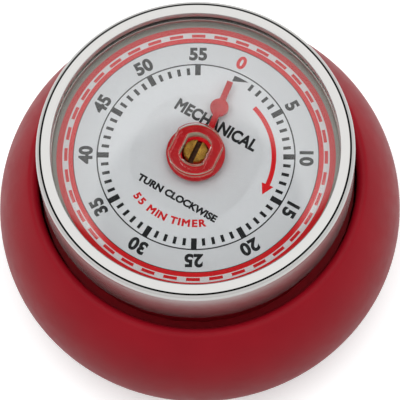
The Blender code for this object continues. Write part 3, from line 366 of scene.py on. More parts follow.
def foot_rubber():
    """Moulded rubber: dull, slightly dusty, finely pebbled."""
    material, tree, shader = start_finish("dusty_moulded_rubber", "1E1E1F", 0.8)
    vary_colour(tree, shader, grain(tree, 3.0, 4.0).outputs[0], "1A1A1B", "2A2A2A")
    relief(tree, shader, grain(tree, 0.25, 2.0).outputs[0], 0.03)
    return material


def ground_ferrite():
    """Sintered ferrite, ground flat: dark grey with sparse bright grains."""
    material, tree, shader = start_finish("ground_ferrite", "2C2C2F", 0.55, 0.3)
    vary_colour(tree, shader, grain(tree, 0.35, 4.0).outputs[0], "242427", "3A3A3E")
    vary_roughness(tree, shader, grain(tree, 0.7).outputs[0], 0.45, 0.65)
    return material


LACQUER = stoved_lacquer()
CHROME = bright_chrome()
CLEAR = clear_styrene()
FROSTED_EDGE_AND_SHEEN = clear_edge()
DIAL_PAINT = dial_paint()
BLACK_INK = screen_ink("black_screen_ink", "121316", "1A1B1E")
RED_INK = screen_ink("red_screen_ink", "D20E18", "DC121C")
WHITE_INK = screen_ink("white_screen_ink", "DAD3D7", "E2DCDF")
# grey ink that paints the shade on the dial's margin under the ring's flange
MARGIN_SHADE_INK = screen_ink("grey_ink_as_painted_margin_shade", "8E8B82", "98958C")
RED_STYRENE = pointer_styrene()
NECK_STYRENE_DARKENED_AS_SHADE = neck_styrene()
TURNED_BRASS = turned_brass()
SLOT_SHADE_BRASS = grimy_brass()
STAMPED_BRASS = stamped_brass()
ZINC = zinc_steel()
BLUED = blued_steel()
NICKEL = nickel_bell()
BLACK_ABS = black_moulding()
RUBBER = foot_rubber()
FERRITE = ground_ferrite()

# ---------------------------------------------------------------- shaping helpers


def clockwise(minutes):
    """Angle from +X, in degrees, of a minute mark on the dial."""
    return 90.0 - 6.0 * minutes


def polar(reach, degrees):
    """Place at a distance and an angle from the middle."""
    turn = math.radians(degrees)
    return Vector((reach * math.cos(turn), reach * math.sin(turn)))


def arc(centre, reach, start, end, count):
    """Points on an arc from start to end degrees, both ends included."""
    return [tuple(Vector(centre) + polar(reach, start + (end - start) * i / (count - 1)))
            for i in range(count)]


def ellipse(reach, rise, start, end, count):
    """Points of a shell's section, by the ellipse's own angle from its equator."""
    turns = [math.radians(start + (end - start) * i / (count - 1)) for i in range(count)]
    return [(reach * math.cos(t), EQUATOR_Z + rise * math.sin(t)) for t in turns]


def lathe(profile, steps=FINE, at=(0.0, 0.0)):
    """Spin a closed profile of (radius, height) or (radius, height, rounding) corners.

    A profile that starts and ends on the axis makes a solid, and any other makes a ring.
    """
    bm = bmesh.new()
    corners = [bm.verts.new((point[0] * MM, 0.0, point[1] * MM)) for point in profile]
    for first, second in zip(corners, corners[1:]):
        bm.edges.new((first, second))
    if profile[0][0] > 0:
        bm.edges.new((corners[-1], corners[0]))
    roundings = {}
    for corner, point in zip(corners, profile):
        if len(point) > 2:
            roundings.setdefault(point[2], []).append(corner)
    for rounding, group in roundings.items():
        bmesh.ops.bevel(bm, geom=group, offset=rounding * MM, segments=4, profile=0.5,
                        affect="VERTICES", material=-1)
    bmesh.ops.spin(bm, geom=bm.verts[:] + bm.edges[:], cent=(0, 0, 0), axis=(0, 0, 1),
                   angle=2 * math.pi, steps=steps, use_merge=True)
    bmesh.ops.translate(bm, verts=bm.verts, vec=(at[0] * MM, at[1] * MM, 0))
    return bm


def prism(outlines, low, high, rounding=0.0, turn=0.0):
    """Upright solid from flat outlines; the first is the edge and a second one is a hole."""
    bm = bmesh.new()
    loops = []
    for outline in outlines:
        ring = [bm.verts.new((x * MM, y * MM, low * MM)) for x, y in outline]
        loops.append([bm.edges.new((a, b)) for a, b in zip(ring, ring[1:] + ring[:1])])
    edges = [e for loop in loops for e in loop]
    if len(outlines) == 1:
        faces = bmesh.ops.contextual_create(bm, geom=edges)["faces"]
    else:
        faces = bmesh.ops.bridge_loops(bm, edges=edges)["faces"]
    raised = bmesh.ops.extrude_face_region(bm, geom=faces, use_keep_orig=True)["geom"]
    lifted = [v for v in raised if isinstance(v, bmesh.types.BMVert)]
    bmesh.ops.translate(bm, verts=lifted, vec=(0, 0, (high - low) * MM))
    if rounding:
        rims = [e for e in bm.edges if e.is_manifold and e.calc_face_angle(0) > math.radians(60)
                and abs(e.verts[0].co.z - e.verts[1].co.z) < 1e-6]
        bmesh.ops.bevel(bm, geom=rims, offset=rounding * MM, segments=3, profile=0.5,
                        affect="EDGES", material=-1)
    bmesh.ops.rotate(bm, verts=bm.verts, cent=(0, 0, 0),
                     matrix=Matrix.Rotation(math.radians(turn), 3, "Z"))
    return bm


def close_up(bm):
    """Weld seams and poles, and point every face outwards."""
    bmesh.ops.remove_doubles(bm, verts=bm.verts, dist=0.0005 * MM)
    bmesh.ops.dissolve_degenerate(bm, edges=bm.edges, dist=0.0001 * MM)
    bmesh.ops.recalc_face_normals(bm, faces=bm.faces)


def loose_object(bm, name):
    """Turn a bmesh into an object that has no body or material yet."""
    close_up(bm)
    mesh = bpy.data.meshes.new(name)
    bm.to_mesh(mesh)
    bm.free()
    piece = bpy.data.objects.new(name, mesh)
    bpy.context.scene.collection.objects.link(piece)
    return piece


def settle(piece, body, material, node=None, crease=35.0):
    """Give a finished shape its material, its body and, where it has one, its CAD node."""
    piece.data.materials.clear()
    piece.data.materials.append(material)
    piece.data.shade_smooth()
    piece.data.set_sharp_from_angle(angle=math.radians(crease))
    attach(piece, body)
    if node:
        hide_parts(*([node] if isinstance(node, str) else node))
    return piece


def make(bm, name, body, material, node=None, crease=35.0):
    """Finish a shape that needs no cutting, straight from its bmesh."""
    return settle(loose_object(bm, name), body, material, node, crease)


def carve(piece, tool_bm, operation="DIFFERENCE"):
    """Cut a shape out of a loose piece, or join one to it, and keep the result as its mesh."""
    tool = loose_object(tool_bm, "tool")
    boolean = piece.modifiers.new("carve", "BOOLEAN")
    boolean.operation = operation
    boolean.solver = "EXACT"
    boolean.object = tool
    result = bpy.data.meshes.new_from_object(
        piece.evaluated_get(bpy.context.evaluated_depsgraph_get()))
    piece.modifiers.remove(boolean)
    piece.data = result
    bpy.data.objects.remove(tool, do_unlink=True)
    return piece


def box_solid(size, centre, turn=0.0):
    """Upright box of size (x, y, z) about a centre, turned about Z afterwards."""
    bm = bmesh.new()
    place = (Matrix.Rotation(math.radians(turn), 4, "Z") @ Matrix.Translation(Vector(centre) * MM)
             @ Matrix.Diagonal((size[0] * MM, size[1] * MM, size[2] * MM, 1.0)))
    bmesh.ops.create_cube(bm, size=1.0, matrix=place)
    return bm


def gather(parts):
    """Join several bmeshes into one."""
    whole = bmesh.new()
    for part in parts:
        mesh = bpy.data.meshes.new("part")
        part.to_mesh(mesh)
        part.free()
        whole.from_mesh(mesh)
        bpy.data.meshes.remove(mesh)
    return whole

# ---------------------------------------------------------------- shell and ring


def make_shell():
    """Drawn shell: lip curled in at the mouth, walls, folded rim and raised floor."""
    lip_start = MOUTH_RADIUS + LIP_REACH
    turn = math.acos(lip_start / SHELL_RADIUS)
    start_z = EQUATOR_Z + DOME_HEIGHT * math.sin(turn)
    normal = math.degrees(math.atan2(math.sin(turn) / DOME_HEIGHT, math.cos(turn) / SHELL_RADIUS))
    lip = LIP_REACH / (1 + math.cos(math.radians(normal)))
    centre = Vector((lip_start, start_z)) - polar(lip, normal)
    lip_end = centre.y - LIP_TAIL
    rim_turn = math.degrees(math.asin((RIM_Z - EQUATOR_Z) / BOWL_DEPTH))
    rim_radius = SHELL_RADIUS * math.cos(math.radians(rim_turn))
    recess = rim_radius - RIM_FOLD
    floor_top = FLOOR_Z + SHELL_WALL
    inner_dome = DOME_HEIGHT - SHELL_WALL
    inner_bowl = BOWL_DEPTH - SHELL_WALL
    inner = SHELL_RADIUS - SHELL_WALL
    floor_turn = math.degrees(math.asin((floor_top - EQUATOR_Z) / inner_bowl))
    inner_start = centre + polar(lip - SHELL_WALL, normal)
    inner_turn = math.degrees(math.asin((inner_start.y - EQUATOR_Z) / inner_dome)) - LIP_BLEND
    profile = [(MOUTH_RADIUS, lip_end, 0.1)] + arc(centre, lip, 180, normal, 12)
    profile += ellipse(SHELL_RADIUS, DOME_HEIGHT, math.degrees(turn), 0, 28)[1:]
    profile += ellipse(SHELL_RADIUS, BOWL_DEPTH, 0, rim_turn, 18)[1:-1]
    profile += [(rim_radius, RIM_Z, 0.35), (recess, RIM_Z, 0.35), (recess, FLOOR_Z, 0.1)]
    profile += [(FLOOR_HOLE, FLOOR_Z), (FLOOR_HOLE, floor_top)]
    profile += ellipse(inner, inner_bowl, floor_turn, 0, 8)
    profile += ellipse(inner, inner_dome, 0, inner_turn, 12)[1:]
    profile += arc(centre, lip - SHELL_WALL, normal, 180, 4)
    profile += [(MOUTH_RADIUS + SHELL_WALL, lip_end)]
    make(lathe(profile), "lacquered_shell", "case", LACQUER, "body_shell",
         crease=50)


def make_ring():
    """Chrome ring that is gripped and turned, with the bright bead under its window."""
    inner = RING_RADIUS - RING_WALL
    skirt = foot("bezel")
    fall = math.tan(math.radians(TOP_SLOPE))
    start = RING_RADIUS - SHOULDER + SHOULDER * math.sin(math.radians(TOP_SLOPE))

    def cone(reach):
        """Place on the sloping top of the ring."""
        return (reach, RING_TOP - (reach - SIGHT_RADIUS) * fall)

    centre = (RING_RADIUS - SHOULDER,
              cone(start)[1] - SHOULDER * math.cos(math.radians(TOP_SLOPE)))
    shoulder = arc(centre, SHOULDER, 90 - TOP_SLOPE, 0, 25)
    ring = lathe([cone(SIGHT_RADIUS + 0.12), cone(start - 0.06)] + shoulder + [
        (RING_RADIUS, skirt, 0.2), (inner, skirt, 0.1),
        (inner, FLANGE_UNDERSIDE), (SIGHT_RADIUS, FLANGE_UNDERSIDE, 0.1),
        (SIGHT_RADIUS, RING_TOP, 0.05),
    ])
    make(ring, "chrome_ring", "ring", CHROME, "bezel", crease=50)
    bead_low, bead_high = foot("lens_ring"), top("lens_ring")
    bead = lathe([
        (LENS_RADIUS, bead_high), (LENS_RADIUS, bead_low, 0.1), (SIGHT_RADIUS, bead_low, 0.25),
        (SIGHT_RADIUS, bead_high, 0.1),
    ])
    make(bead, "window_bead", "ring", CHROME, "lens_ring", crease=50)


def double_d(reach, half_flat, count=24):
    """Round outline with two flats parallel to Y."""
    side = math.degrees(math.acos(half_flat / reach))
    return (arc((0, 0), reach, side, 180 - side, count)
            + arc((0, 0), reach, 180 + side, 360 - side, count))


def make_window():
    """Domed clear window with a moulded boss that grips the arbor."""
    boss_low, boss_high = foot("lens"), top("lens")

    def dome(reach):
        """Height of the window's upper face."""
        return LENS_TOP + LENS_RISE * max(0.0, 1 - (reach / SIGHT_RADIUS) ** 2)

    sheet_low = LENS_TOP - LENS_THICKNESS
    rings = [SIGHT_RADIUS * i / 12 for i in range(12, 1, -1)] + [LENS_HOLE]
    sheet = lathe([(LENS_RADIUS, LENS_TOP, 0.15), (LENS_RADIUS, sheet_low, 0.15)]
                  + [(r, dome(r) - LENS_THICKNESS) for r in rings]
                  + [(r, dome(r)) for r in rings[::-1]])
    window = loose_object(sheet, "clear_window")
    boss = prism([double_d(BOSS_RADIUS, BOSS_FLAT), double_d(BORE_RADIUS, BORE_FLAT)],
                 boss_low, boss_high, rounding=0.22, turn=POINTER_TURN)
    carve(window, boss, "UNION")
    settle(window, "ring", CLEAR, "lens", crease=18)
    window.data.materials.append(FROSTED_EDGE_AND_SHEEN)
    for face in window.data.polygons:
        on_boss = face.center.xy.length / MM < POINTER_DISC
        if on_boss and abs(face.normal.z) < 0.3:  # its walls, milky and partly painted reflection
            face.material_index = 1
        if on_boss and abs(face.normal.z) > 0.99999:  # its flat end
            face.use_smooth = False
    window.visible_shadow = False

# ---------------------------------------------------------------- pointer and arbor


def make_pointer():
    """Red pointer: disc round the arbor, arm with a round eye, and a square tip."""
    half, eye, eye_place, tip = 0.5, 1.55, 9.0, 13.95  # half the arm's width, then three reaches
    low, high = foot("pointer"), top("pointer")
    aside, lean = -0.7, 3.2  # the arm stands beside the disc's centre, and leans in degrees
    root_left = math.degrees(math.asin((aside + half) / POINTER_DISC))
    root_right = math.degrees(math.asin((aside - half) / POINTER_DISC))
    turn = math.degrees(math.asin(half / eye))
    outline = arc((0, 0), POINTER_DISC, root_left, 360 + root_right, 90)
    outline += arc((eye_place, aside), eye, 180 + turn, 360 - turn, 24)
    outline += [(tip, aside - half), (tip, aside + half)]
    outline += arc((eye_place, aside), eye, turn, 180 - turn, 24)
    pointer = loose_object(prism([outline], low, high, rounding=0.14, turn=90 + POINTER_TURN + lean),
                           "pointer_blade")
    bore = lathe([(0, high + 1), (ARBOR_RADIUS + GAP, high + 1), (ARBOR_RADIUS + GAP, low - 1),
                  (0, low - 1)], SMALL)
    carve(pointer, bore)
    settle(pointer, "ring", RED_STYRENE, "pointer", crease=40)


def make_arbor():
    """Turned arbor: pivot, spring hub and the slotted head seen down the boss."""
    head = top("main_arbor")
    spring_low, spring_high = foot("mainspring") - 0.2, top("mainspring") + 0.2
    staff_low = foot("second_wheel") - 7.9  # the arbor steps down to its pivot here
    arbor = loose_object(lathe([
        (0, head), (ARBOR_RADIUS, head, 0.2), (ARBOR_RADIUS, spring_high),
        (HUB_RADIUS, spring_high, 0.15), (HUB_RADIUS, spring_low, 0.15),
        (ARBOR_RADIUS, spring_low), (ARBOR_RADIUS, staff_low, 0.1), (PIVOT_RADIUS, staff_low),
        (PIVOT_RADIUS, foot("main_arbor"), 0.15),
        (0, foot("main_arbor")),
    ], SMALL), "slotted_arbor")
    slot = box_solid((SLOT_WIDTH, 3 * ARBOR_RADIUS, 2 * SLOT_DEPTH), (0, 0, head), POINTER_TURN)
    carve(arbor, slot)
    settle(arbor, "ring", TURNED_BRASS, "main_arbor", crease=40)
    arbor.data.materials.append(SLOT_SHADE_BRASS)
    along = Vector((math.cos(math.radians(POINTER_TURN)), math.sin(math.radians(POINTER_TURN))))
    # faces down the slot take the darkened brass: painted shade of the narrow slot
    for face in arbor.data.polygons:
        sunk = face.center.z / MM
        across = abs(face.center.xy.dot(along)) / MM
        if head - SLOT_DEPTH - 0.01 < sunk < head - 0.05 and across < SLOT_WIDTH / 2 + 0.01:
            face.material_index = 1

# ---------------------------------------------------------------- dial and its print

INK = 0.02  # how far a printed film stands proud
HAIRLINE = INK + 0.002  # thin lines are printed last and stand a little higher
UNDERCOAT = 0.012  # the white, and the grey margin band that is painted shade, are printed first
KEYED = 0.01  # how far a film is drawn into the paint, so that no two faces share a plane
ARBOR_HOLE = 2.6
CHAPTER_RADIUS, CHAPTER_HALF = 16.5, 0.11  # circle that the minute blocks hang from
BLOCK_INNER, BLOCK_WIDTH = 14.55, 0.94  # at every fifth minute
MINUTE_INNER, MINUTE_OUTER, MINUTE_WIDTH = 14.62, 15.88, 0.54
WEDGE_INNER, WEDGE_OUTER, WEDGE_START, WEDGE_END = 14.72, 15.82, 6.8, -2.8  # at the zero mark
NUMERAL_RADIUS, NUMERAL_HEIGHT, NUMERAL_WEIGHT = 18.3, 2.2, 0.14
BORDER_LINE = (20.4, 20.52)
BORDER_WHITE = (21.2, 22.4)
BORDER_RED = ((20.5, 21.3), (22.3, 23.3))
DASH, DASH_HALF, DASHES = (21.45, 22.0), 3.0, 36  # red dashes on the white
# the grey band from here to the dial's edge is painted shade: it darkens the margin that the ring's
# flange overhangs
MARGIN_INNER = 23.28
ARROW_RADIUS, ARROW_HALF, HEAD_HALF, HEAD_LENGTH = 13.0, 0.39, 1.05, 8.6  # length in degrees
ARROW_START, ARROW_END = 90 - 17.6, 90 - 82.5


def ink_band(inner, outer, film=INK):
    """Full circle of ink between two radii."""
    low, high = DIAL_TOP - KEYED, DIAL_TOP + film
    return lathe([(outer, high), (outer, low), (inner, low), (inner, high)])


def ink_shape(outline):
    """Ink film with a flat outline of its own."""
    return prism([outline], DIAL_TOP - KEYED, DIAL_TOP + INK)


def ink_arc(inner, outer, start, end, count=8):
    """Band of ink between two radii and two angles."""
    return ink_shape(arc((0, 0), outer, start, end, count)
                     + arc((0, 0), inner, end, start, count))


def ink_block(inner, outer, width, turn):
    """Radial mark between two radii."""
    return box_solid((outer - inner, width, INK + KEYED),
                     ((outer + inner) / 2, 0, DIAL_TOP + (INK - KEYED) / 2), turn)


def ink_word(words, height, place, turn, width=1.0, weight=0.0, spacing=1.0):
    """A word as an ink film: height is its capitals', width squeezes it, weight thickens it."""
    text = bpy.data.curves.new("word", "FONT")
    text.body = words
    text.size = height / 0.73
    text.align_x = "CENTER"
    text.align_y = "CENTER"
    text.bevel_depth = weight
    text.bevel_resolution = 0
    text.space_character = spacing
    text.resolution_u = 6
    text.extrude = INK
    letters = bpy.data.objects.new("word", text)
    bpy.context.scene.collection.objects.link(letters)
    mesh = bpy.data.meshes.new_from_object(
        letters.evaluated_get(bpy.context.evaluated_depsgraph_get()))
    bpy.data.objects.remove(letters, do_unlink=True)
    mesh.transform(Matrix.Diagonal((width, 1.0, (INK + KEYED) / 2 / (INK + weight), 1.0)))
    mesh.transform(Matrix.Translation((place[0], place[1], DIAL_TOP + (INK - KEYED) / 2))
                   @ Matrix.Rotation(math.radians(turn), 4, "Z"))
    mesh.transform(Matrix.Scale(MM, 4))
    bm = bmesh.new()
    bm.from_mesh(mesh)
    bpy.data.meshes.remove(mesh)
    return bm


LETTER_SHARE = {"I": 0.55, "M": 1.3, "N": 1.1, " ": 0.6}  # widths beside an ordinary letter's


def curved_word(words, height, reach, centre_turn, step, width, weight):
    """Letters one by one along an arc that reads from below, as on the lower half of a dial."""
    shares = [LETTER_SHARE.get(letter, 1.0) for letter in words]
    turn = centre_turn - step * sum(shares) / 2
    letters = []
    for letter, share in zip(words, shares):
        middle_turn = turn + step * share / 2
        if letter != " ":
            letters.append(ink_word(letter, height, polar(reach, middle_turn), middle_turn + 90,
                                    width, weight))
        turn += step * share
    return letters


def make_dial():
    """Painted disc with its minute scale, numerals, border, words and arrow."""
    dial = lathe([(DIAL_RADIUS, DIAL_TOP, 0.08), (DIAL_RADIUS, foot("dial"), 0.05),
                  (ARBOR_HOLE, foot("dial")), (ARBOR_HOLE, DIAL_TOP, 0.05)])
    make(dial, "dial_disc", "case", DIAL_PAINT, "dial")

    def printed(bm, name, ink):
        """Finish one colour of the print, which stays with the case."""
        make(bm, name, "case", ink, None)

    ticks = [ink_band(CHAPTER_RADIUS - CHAPTER_HALF, CHAPTER_RADIUS + CHAPTER_HALF, HAIRLINE)]
    for minute in range(5, 60, 5):
        ticks.append(ink_block(BLOCK_INNER, CHAPTER_RADIUS, BLOCK_WIDTH, clockwise(minute)))
    for minute in range(1, 55):
        if minute % 5:
            ticks.append(ink_block(MINUTE_INNER, MINUTE_OUTER, MINUTE_WIDTH, clockwise(minute)))
    wedge = arc((0, 0), WEDGE_OUTER, 90 + WEDGE_START, 90 + WEDGE_END, 12)
    wedge += [tuple(polar(WEDGE_INNER, 90 + WEDGE_START))]
    ticks.append(ink_shape(wedge))
    printed(gather(ticks), "print_minute_scale", BLACK_INK)

    numerals = []
    for minute in range(5, 60, 5):
        place = polar(NUMERAL_RADIUS, clockwise(minute))
        numerals.append(ink_word(str(minute), NUMERAL_HEIGHT, place, clockwise(minute) - 90,
                                 weight=NUMERAL_WEIGHT, spacing=1.04))
    numerals.append(ink_word("MECHANICAL", 2.05, (0.0, 6.4), 0.0,
                             width=0.86, weight=0.125, spacing=1.03))
    numerals.append(ink_word("TURN CLOCKWISE", 1.2, (1.2, -8.0), 0.0, width=1.06, weight=0.085))
    printed(gather(numerals), "print_numerals", BLACK_INK)

    # grey band at the dial's edge: painted shade under the ring's flange, drawn as an ink film
    printed(ink_band(MARGIN_INNER, DIAL_RADIUS - 0.05, UNDERCOAT), "painted_shade_margin_band", MARGIN_SHADE_INK)
    printed(ink_band(*BORDER_LINE, HAIRLINE), "print_border_line", BLACK_INK)
    reds = [ink_band(inner, outer) for inner, outer in BORDER_RED]
    for number in range(DASHES):
        turn = number * 360 / DASHES
        reds.append(ink_arc(*DASH, turn - DASH_HALF, turn + DASH_HALF))
    reds.append(ink_word("0", NUMERAL_HEIGHT, polar(NUMERAL_RADIUS, 90 + POINTER_TURN),
                         POINTER_TURN, weight=NUMERAL_WEIGHT))
    reds.append(ink_arc(ARROW_RADIUS - ARROW_HALF, ARROW_RADIUS + ARROW_HALF,
                        ARROW_END, ARROW_START, 24))
    reds.append(ink_shape([tuple(polar(ARROW_RADIUS + HEAD_HALF, ARROW_END)),
                           tuple(polar(ARROW_RADIUS - HEAD_HALF, ARROW_END)),
                           tuple(polar(ARROW_RADIUS, ARROW_END - HEAD_LENGTH))]))
    reds += curved_word("55 MIN TIMER", 1.25, 12.0, -83.5, step=5.9, width=1.1, weight=0.08)
    printed(gather(reds), "print_red", RED_INK)
    printed(ink_band(*BORDER_WHITE, UNDERCOAT), "print_border_white", WHITE_INK)

# ---------------------------------------------------------------- back


def slotted_screw(node, body):
    """Cheese-head screw with its head down, from its CAD node's box."""
    tip, shank, head_height, slot_width = 0.65, 0.8, 0.6, 0.5
    low, high = foot(node), top(node)
    head = (edge(node, 1, 0) - edge(node, 0, 0)) / 2
    place = middle(node)
    piece = loose_object(lathe([
        (0, high), (tip, high, 0.15), (shank, high - 0.4), (shank, low + head_height),
        (head, low + head_height, 0.08), (head, low, 0.18), (0, low),
    ], SMALL, place), f"{node}_slotted")
    slot = box_solid((3 * head, slot_width, head_height), (0, 0, low))
    bmesh.ops.translate(slot, verts=slot.verts, vec=(place.x * MM, place.y * MM, 0))
    carve(piece, slot)
    settle(piece, body, ZINC, node, crease=40)


def make_back():
    """Back cover with its sunk screws, the pot magnet and the rubber ring."""
    outer = radius("back_plate")
    low = foot("back_plate")
    boss = FLOOR_HOLE - GAP
    plate_top = FLOOR_Z - GAP
    foot_inner, foot_outer = 15.6, radius("foot_ring")
    groove = top("foot_ring") + GAP
    pocket = radius("magnet_cup") + GAP
    pocket_top = top("magnet_cup") + GAP
    cover = loose_object(lathe([
        (0, top("back_plate")), (boss, top("back_plate"), 0.3), (boss, plate_top),
        (outer, plate_top, 0.15), (outer, low, 0.4), (foot_outer + GAP, low, 0.1),
        (foot_outer + GAP, groove), (foot_inner - GAP, groove), (foot_inner - GAP, low, 0.1),
        (pocket, low, 0.15), (pocket, pocket_top), (0, pocket_top),
    ]), "back_cover")
    shank_hole, sink, seat = 1.1, 2.1, 1.2  # two radii, and the height of the screw's seat
    for number in (1, 2, 3):
        node = f"back_screw_{number}"
        carve(cover, lathe([
            (0, plate_top + 1), (shank_hole, plate_top + 1), (shank_hole, seat), (sink, seat),
            (sink, low - 1), (0, low - 1),
        ], SMALL, middle(node)))
        slotted_screw(node, "case")
    settle(cover, "case", BLACK_ABS, "back_plate", crease=40)

    cup, cup_top = radius("magnet_cup"), top("magnet_cup")
    cup_wall, cup_floor = 1.0, 0.8
    make(lathe([(0, cup_top), (cup, cup_top, 0.4), (cup, 0, 0.15), (cup - cup_wall, 0, 0.1),
                (cup - cup_wall, cup_top - cup_floor), (0, cup_top - cup_floor)], MEDIUM),
         "pot_magnet_cup", "case", ZINC, "magnet_cup")
    disc = radius("magnet")
    make(lathe([(0, top("magnet")), (disc, top("magnet"), 0.1), (disc, 0, 0.2), (0, 0)], MEDIUM),
         "pot_magnet_disc", "case", FERRITE, "magnet")
    ring_top = top("foot_ring")
    make(lathe([(foot_outer, ring_top, 0.1), (foot_outer, 0, 0.3), (foot_inner, 0, 0.3),
                (foot_inner, ring_top, 0.1)], MEDIUM),
         "rubber_foot_ring", "case", RUBBER, "foot_ring")

# ---------------------------------------------------------------- movement finishes

FINISH_OF_SLOT = {
    "black_moulding": BLACK_ABS, "plated_steel": ZINC, "spring_steel": BLUED,
    "brass": STAMPED_BRASS, "bell_metal": NICKEL, "red_lacquer": LACQUER, "chrome": CHROME,
    "rubber": RUBBER, "ferrite": FERRITE, "printed_dial": DIAL_PAINT,
    "red_plastic": RED_STYRENE, "clear_plastic": CLEAR,
}


def finish_movement():
    """The clockwork keeps its CAD shapes and takes the finish of its material slot."""
    for part in frame["record"]["subparts"]:
        node = frame["nodes"][part["node"]]
        node.data.materials.clear()
        node.data.materials.append(FINISH_OF_SLOT[part["material_slot"]])
    for name in ("bell_post", "hammer_head"):
        frame["nodes"][name].data.materials[0] = TURNED_BRASS
    # the carrier, seen in the gap under the ring, takes the darkened red: painted shade of that gap
    frame["nodes"]["dial_carrier"].data.materials[0] = NECK_STYRENE_DARKENED_AS_SHADE

# ---------------------------------------------------------------- floor, light and camera


FLOOR_RADIUS = 1.2  # in metres
FLOOR_IN_MIRRORS = 0.6  # how much of the camera's pale floor the chrome sees
FLOOR_GLOW = 0.25


def make_floor():
    """Pale paper that reads white to the camera and grey to matt surfaces."""
    bm = bmesh.new()
    bmesh.ops.create_circle(bm, cap_ends=True, segments=64, radius=FLOOR_RADIUS)
    floor = loose_object(bm, "studio_floor")
    if floor.data.polygons[0].normal.z < 0:
        floor.data.flip_normals()
    material, tree, shader = start_finish("pale_paper", "F0F0F0", 0.9, specular_ior_level=0.0)
    path = add(tree, "ShaderNodeLightPath").outputs
    seen = add(tree, "ShaderNodeMath",
               {0: path["Is Glossy Ray"], 1: FLOOR_IN_MIRRORS, 2: path["Is Camera Ray"]},
               operation="MULTIPLY_ADD").outputs[0]
    shade = add(tree, "ShaderNodeMix", {0: seen, 6: colour("909090"), 7: colour("FFFFFF")},
                data_type="RGBA").outputs[2]
    tree.links.new(shade, shader.inputs["Base Color"])
    shader.inputs["Emission Color"].default_value = (1.0, 1.0, 1.0, 1.0)
    glow = add(tree, "ShaderNodeMath", {0: seen, 1: FLOOR_GLOW}, operation="MULTIPLY").outputs[0]
    tree.links.new(glow, shader.inputs["Emission Strength"])
    floor.data.materials.append(material)


CAMERA_TILT, CAMERA_ROLL, CAMERA_SPIN = 20.16, 4.30, -35.28
CAMERA_OFFSET = (0.67, -7.2, 455.2)  # from the dial's centre, along the camera's own axes
FOCAL_LENGTH = 245.4


def make_camera():
    """Long lens, looking steeply down on the dial and rolled a little."""
    to_camera = (Matrix.Rotation(math.radians(CAMERA_ROLL), 3, "Z")
                 @ Matrix.Rotation(math.radians(-CAMERA_TILT), 3, "X")
                 @ Matrix.Rotation(math.radians(CAMERA_SPIN), 3, "Z"))
    to_world = to_camera.transposed()
    lens = bpy.data.cameras.new("camera")
    lens.lens = FOCAL_LENGTH
    lens.sensor_width = 36.0
    lens.clip_start = 0.01
    lens.clip_end = 20.0
    camera = bpy.data.objects.new("camera", lens)
    bpy.context.scene.collection.objects.link(camera)
    place = to_world @ Vector(CAMERA_OFFSET) + Vector((0, 0, DIAL_TOP))
    camera.matrix_world = Matrix.Translation(place * MM) @ to_world.to_4x4()
    bpy.context.scene.camera = camera


def towards(azimuth, elevation):
    """Unit vector to a place in the sky; azimuth 0 is +Y and 90 is +X."""
    a, e = math.radians(azimuth), math.radians(elevation)
    return Vector((math.sin(a) * math.cos(e), math.cos(a) * math.cos(e), math.sin(e)))


FAR_SIDE = CAMERA_SPIN  # azimuth of the side away from the camera
MIRROR_HEIGHT = 90 - CAMERA_TILT  # where a flat top mirrors the sky to the camera
HOLE_HEIGHT = 72.2  # dark opening that the window's boss mirrors
WALL_LEVEL, FRAME_LEVEL, BOX_LEVEL, HOLE_LEVEL = 0.9, 0.01, 1.3, 0.06
HORIZON_LEVEL, ZENITH_LEVEL = 0.05, 1.5
LAMP_HEIGHT = 66.0
LAMPS = (("left_lamp", FAR_SIDE - 70, 0.9), ("right_lamp", FAR_SIDE + 70, 0.85))


def patch(tree, direction, azimuth, elevation, inner, outer):
    """Mask that is 1 within inner degrees of a place in the sky and 0 beyond outer degrees."""
    dot = add(tree, "ShaderNodeVectorMath",
              {0: direction, 1: towards(azimuth, elevation)}, operation="DOT_PRODUCT")
    return add(tree, "ShaderNodeMapRange", {
        "Value": dot.outputs["Value"], "From Min": math.cos(math.radians(outer)),
        "From Max": math.cos(math.radians(inner)), "To Min": 0.0, "To Max": 1.0,
    }, interpolation_type="SMOOTHSTEP").outputs[0]


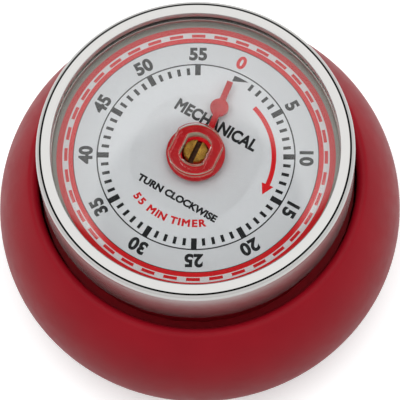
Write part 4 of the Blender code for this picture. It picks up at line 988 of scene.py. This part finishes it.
def make_sky():
    """Light tent: even light from above, and in mirrors a soft box, its dark frame and pale walls."""
    world = bpy.data.worlds.new("studio")
    bpy.context.scene.world = world
    world.use_nodes = True
    tree = world.node_tree
    background = tree.nodes["Background"]
    place = add(tree, "ShaderNodeTexCoord").outputs["Generated"]
    height = add(tree, "ShaderNodeSeparateXYZ", {0: place}).outputs["Z"]
    dome = add(tree, "ShaderNodeMapRange", {
        "Value": height, "From Min": 0.0, "From Max": 1.0,
        "To Min": HORIZON_LEVEL, "To Max": ZENITH_LEVEL,
    }).outputs[0]
    frame_edge = patch(tree, place, FAR_SIDE, MIRROR_HEIGHT, 46.0, 49.0)
    box = patch(tree, place, FAR_SIDE, MIRROR_HEIGHT, 12.0, 14.0)
    hole = patch(tree, place, FAR_SIDE, HOLE_HEIGHT, 4.8, 5.8)
    mirrored = add(tree, "ShaderNodeMix", {0: frame_edge, 2: WALL_LEVEL, 3: FRAME_LEVEL}).outputs[0]
    mirrored = add(tree, "ShaderNodeMix", {0: box, 2: mirrored, 3: BOX_LEVEL}).outputs[0]
    mirrored = add(tree, "ShaderNodeMix", {0: hole, 2: mirrored, 3: HOLE_LEVEL}).outputs[0]
    path = add(tree, "ShaderNodeLightPath").outputs
    level = add(tree, "ShaderNodeMix",
                {0: path["Is Glossy Ray"], 2: dome, 3: mirrored}).outputs[0]
    level = add(tree, "ShaderNodeMix",
                {0: path["Is Camera Ray"], 2: level, 3: 1.0}).outputs[0]
    tree.links.new(level, background.inputs["Strength"])
    background.inputs["Color"].default_value = (1.0, 1.0, 1.0, 1.0)


def make_lamp(name, azimuth, elevation, distance, size, power):
    """Soft area lamp that looks at the middle of the timer."""
    data = bpy.data.lights.new(name, "AREA")
    data.energy = power
    data.shape = "DISK"
    data.size = size
    lamp = bpy.data.objects.new(name, data)
    aim = Vector((0, 0, 0.02))
    lamp.location = aim + towards(azimuth, elevation) * distance
    lamp.rotation_mode = "QUATERNION"
    lamp.rotation_quaternion = towards(azimuth, elevation).to_track_quat("Z", "Y")
    lamp.visible_glossy = False
    bpy.context.scene.collection.objects.link(lamp)


def main():
    """Build every piece, then the studio round them."""
    make_shell()
    make_ring()
    make_window()
    make_pointer()
    make_arbor()
    make_dial()
    make_back()
    finish_movement()
    make_floor()
    make_camera()
    make_sky()
    for name, azimuth, power in LAMPS:
        make_lamp(name, azimuth, LAMP_HEIGHT, distance=0.8, size=0.5, power=power)
    bpy.context.scene.view_settings.view_transform = "Standard"


main()
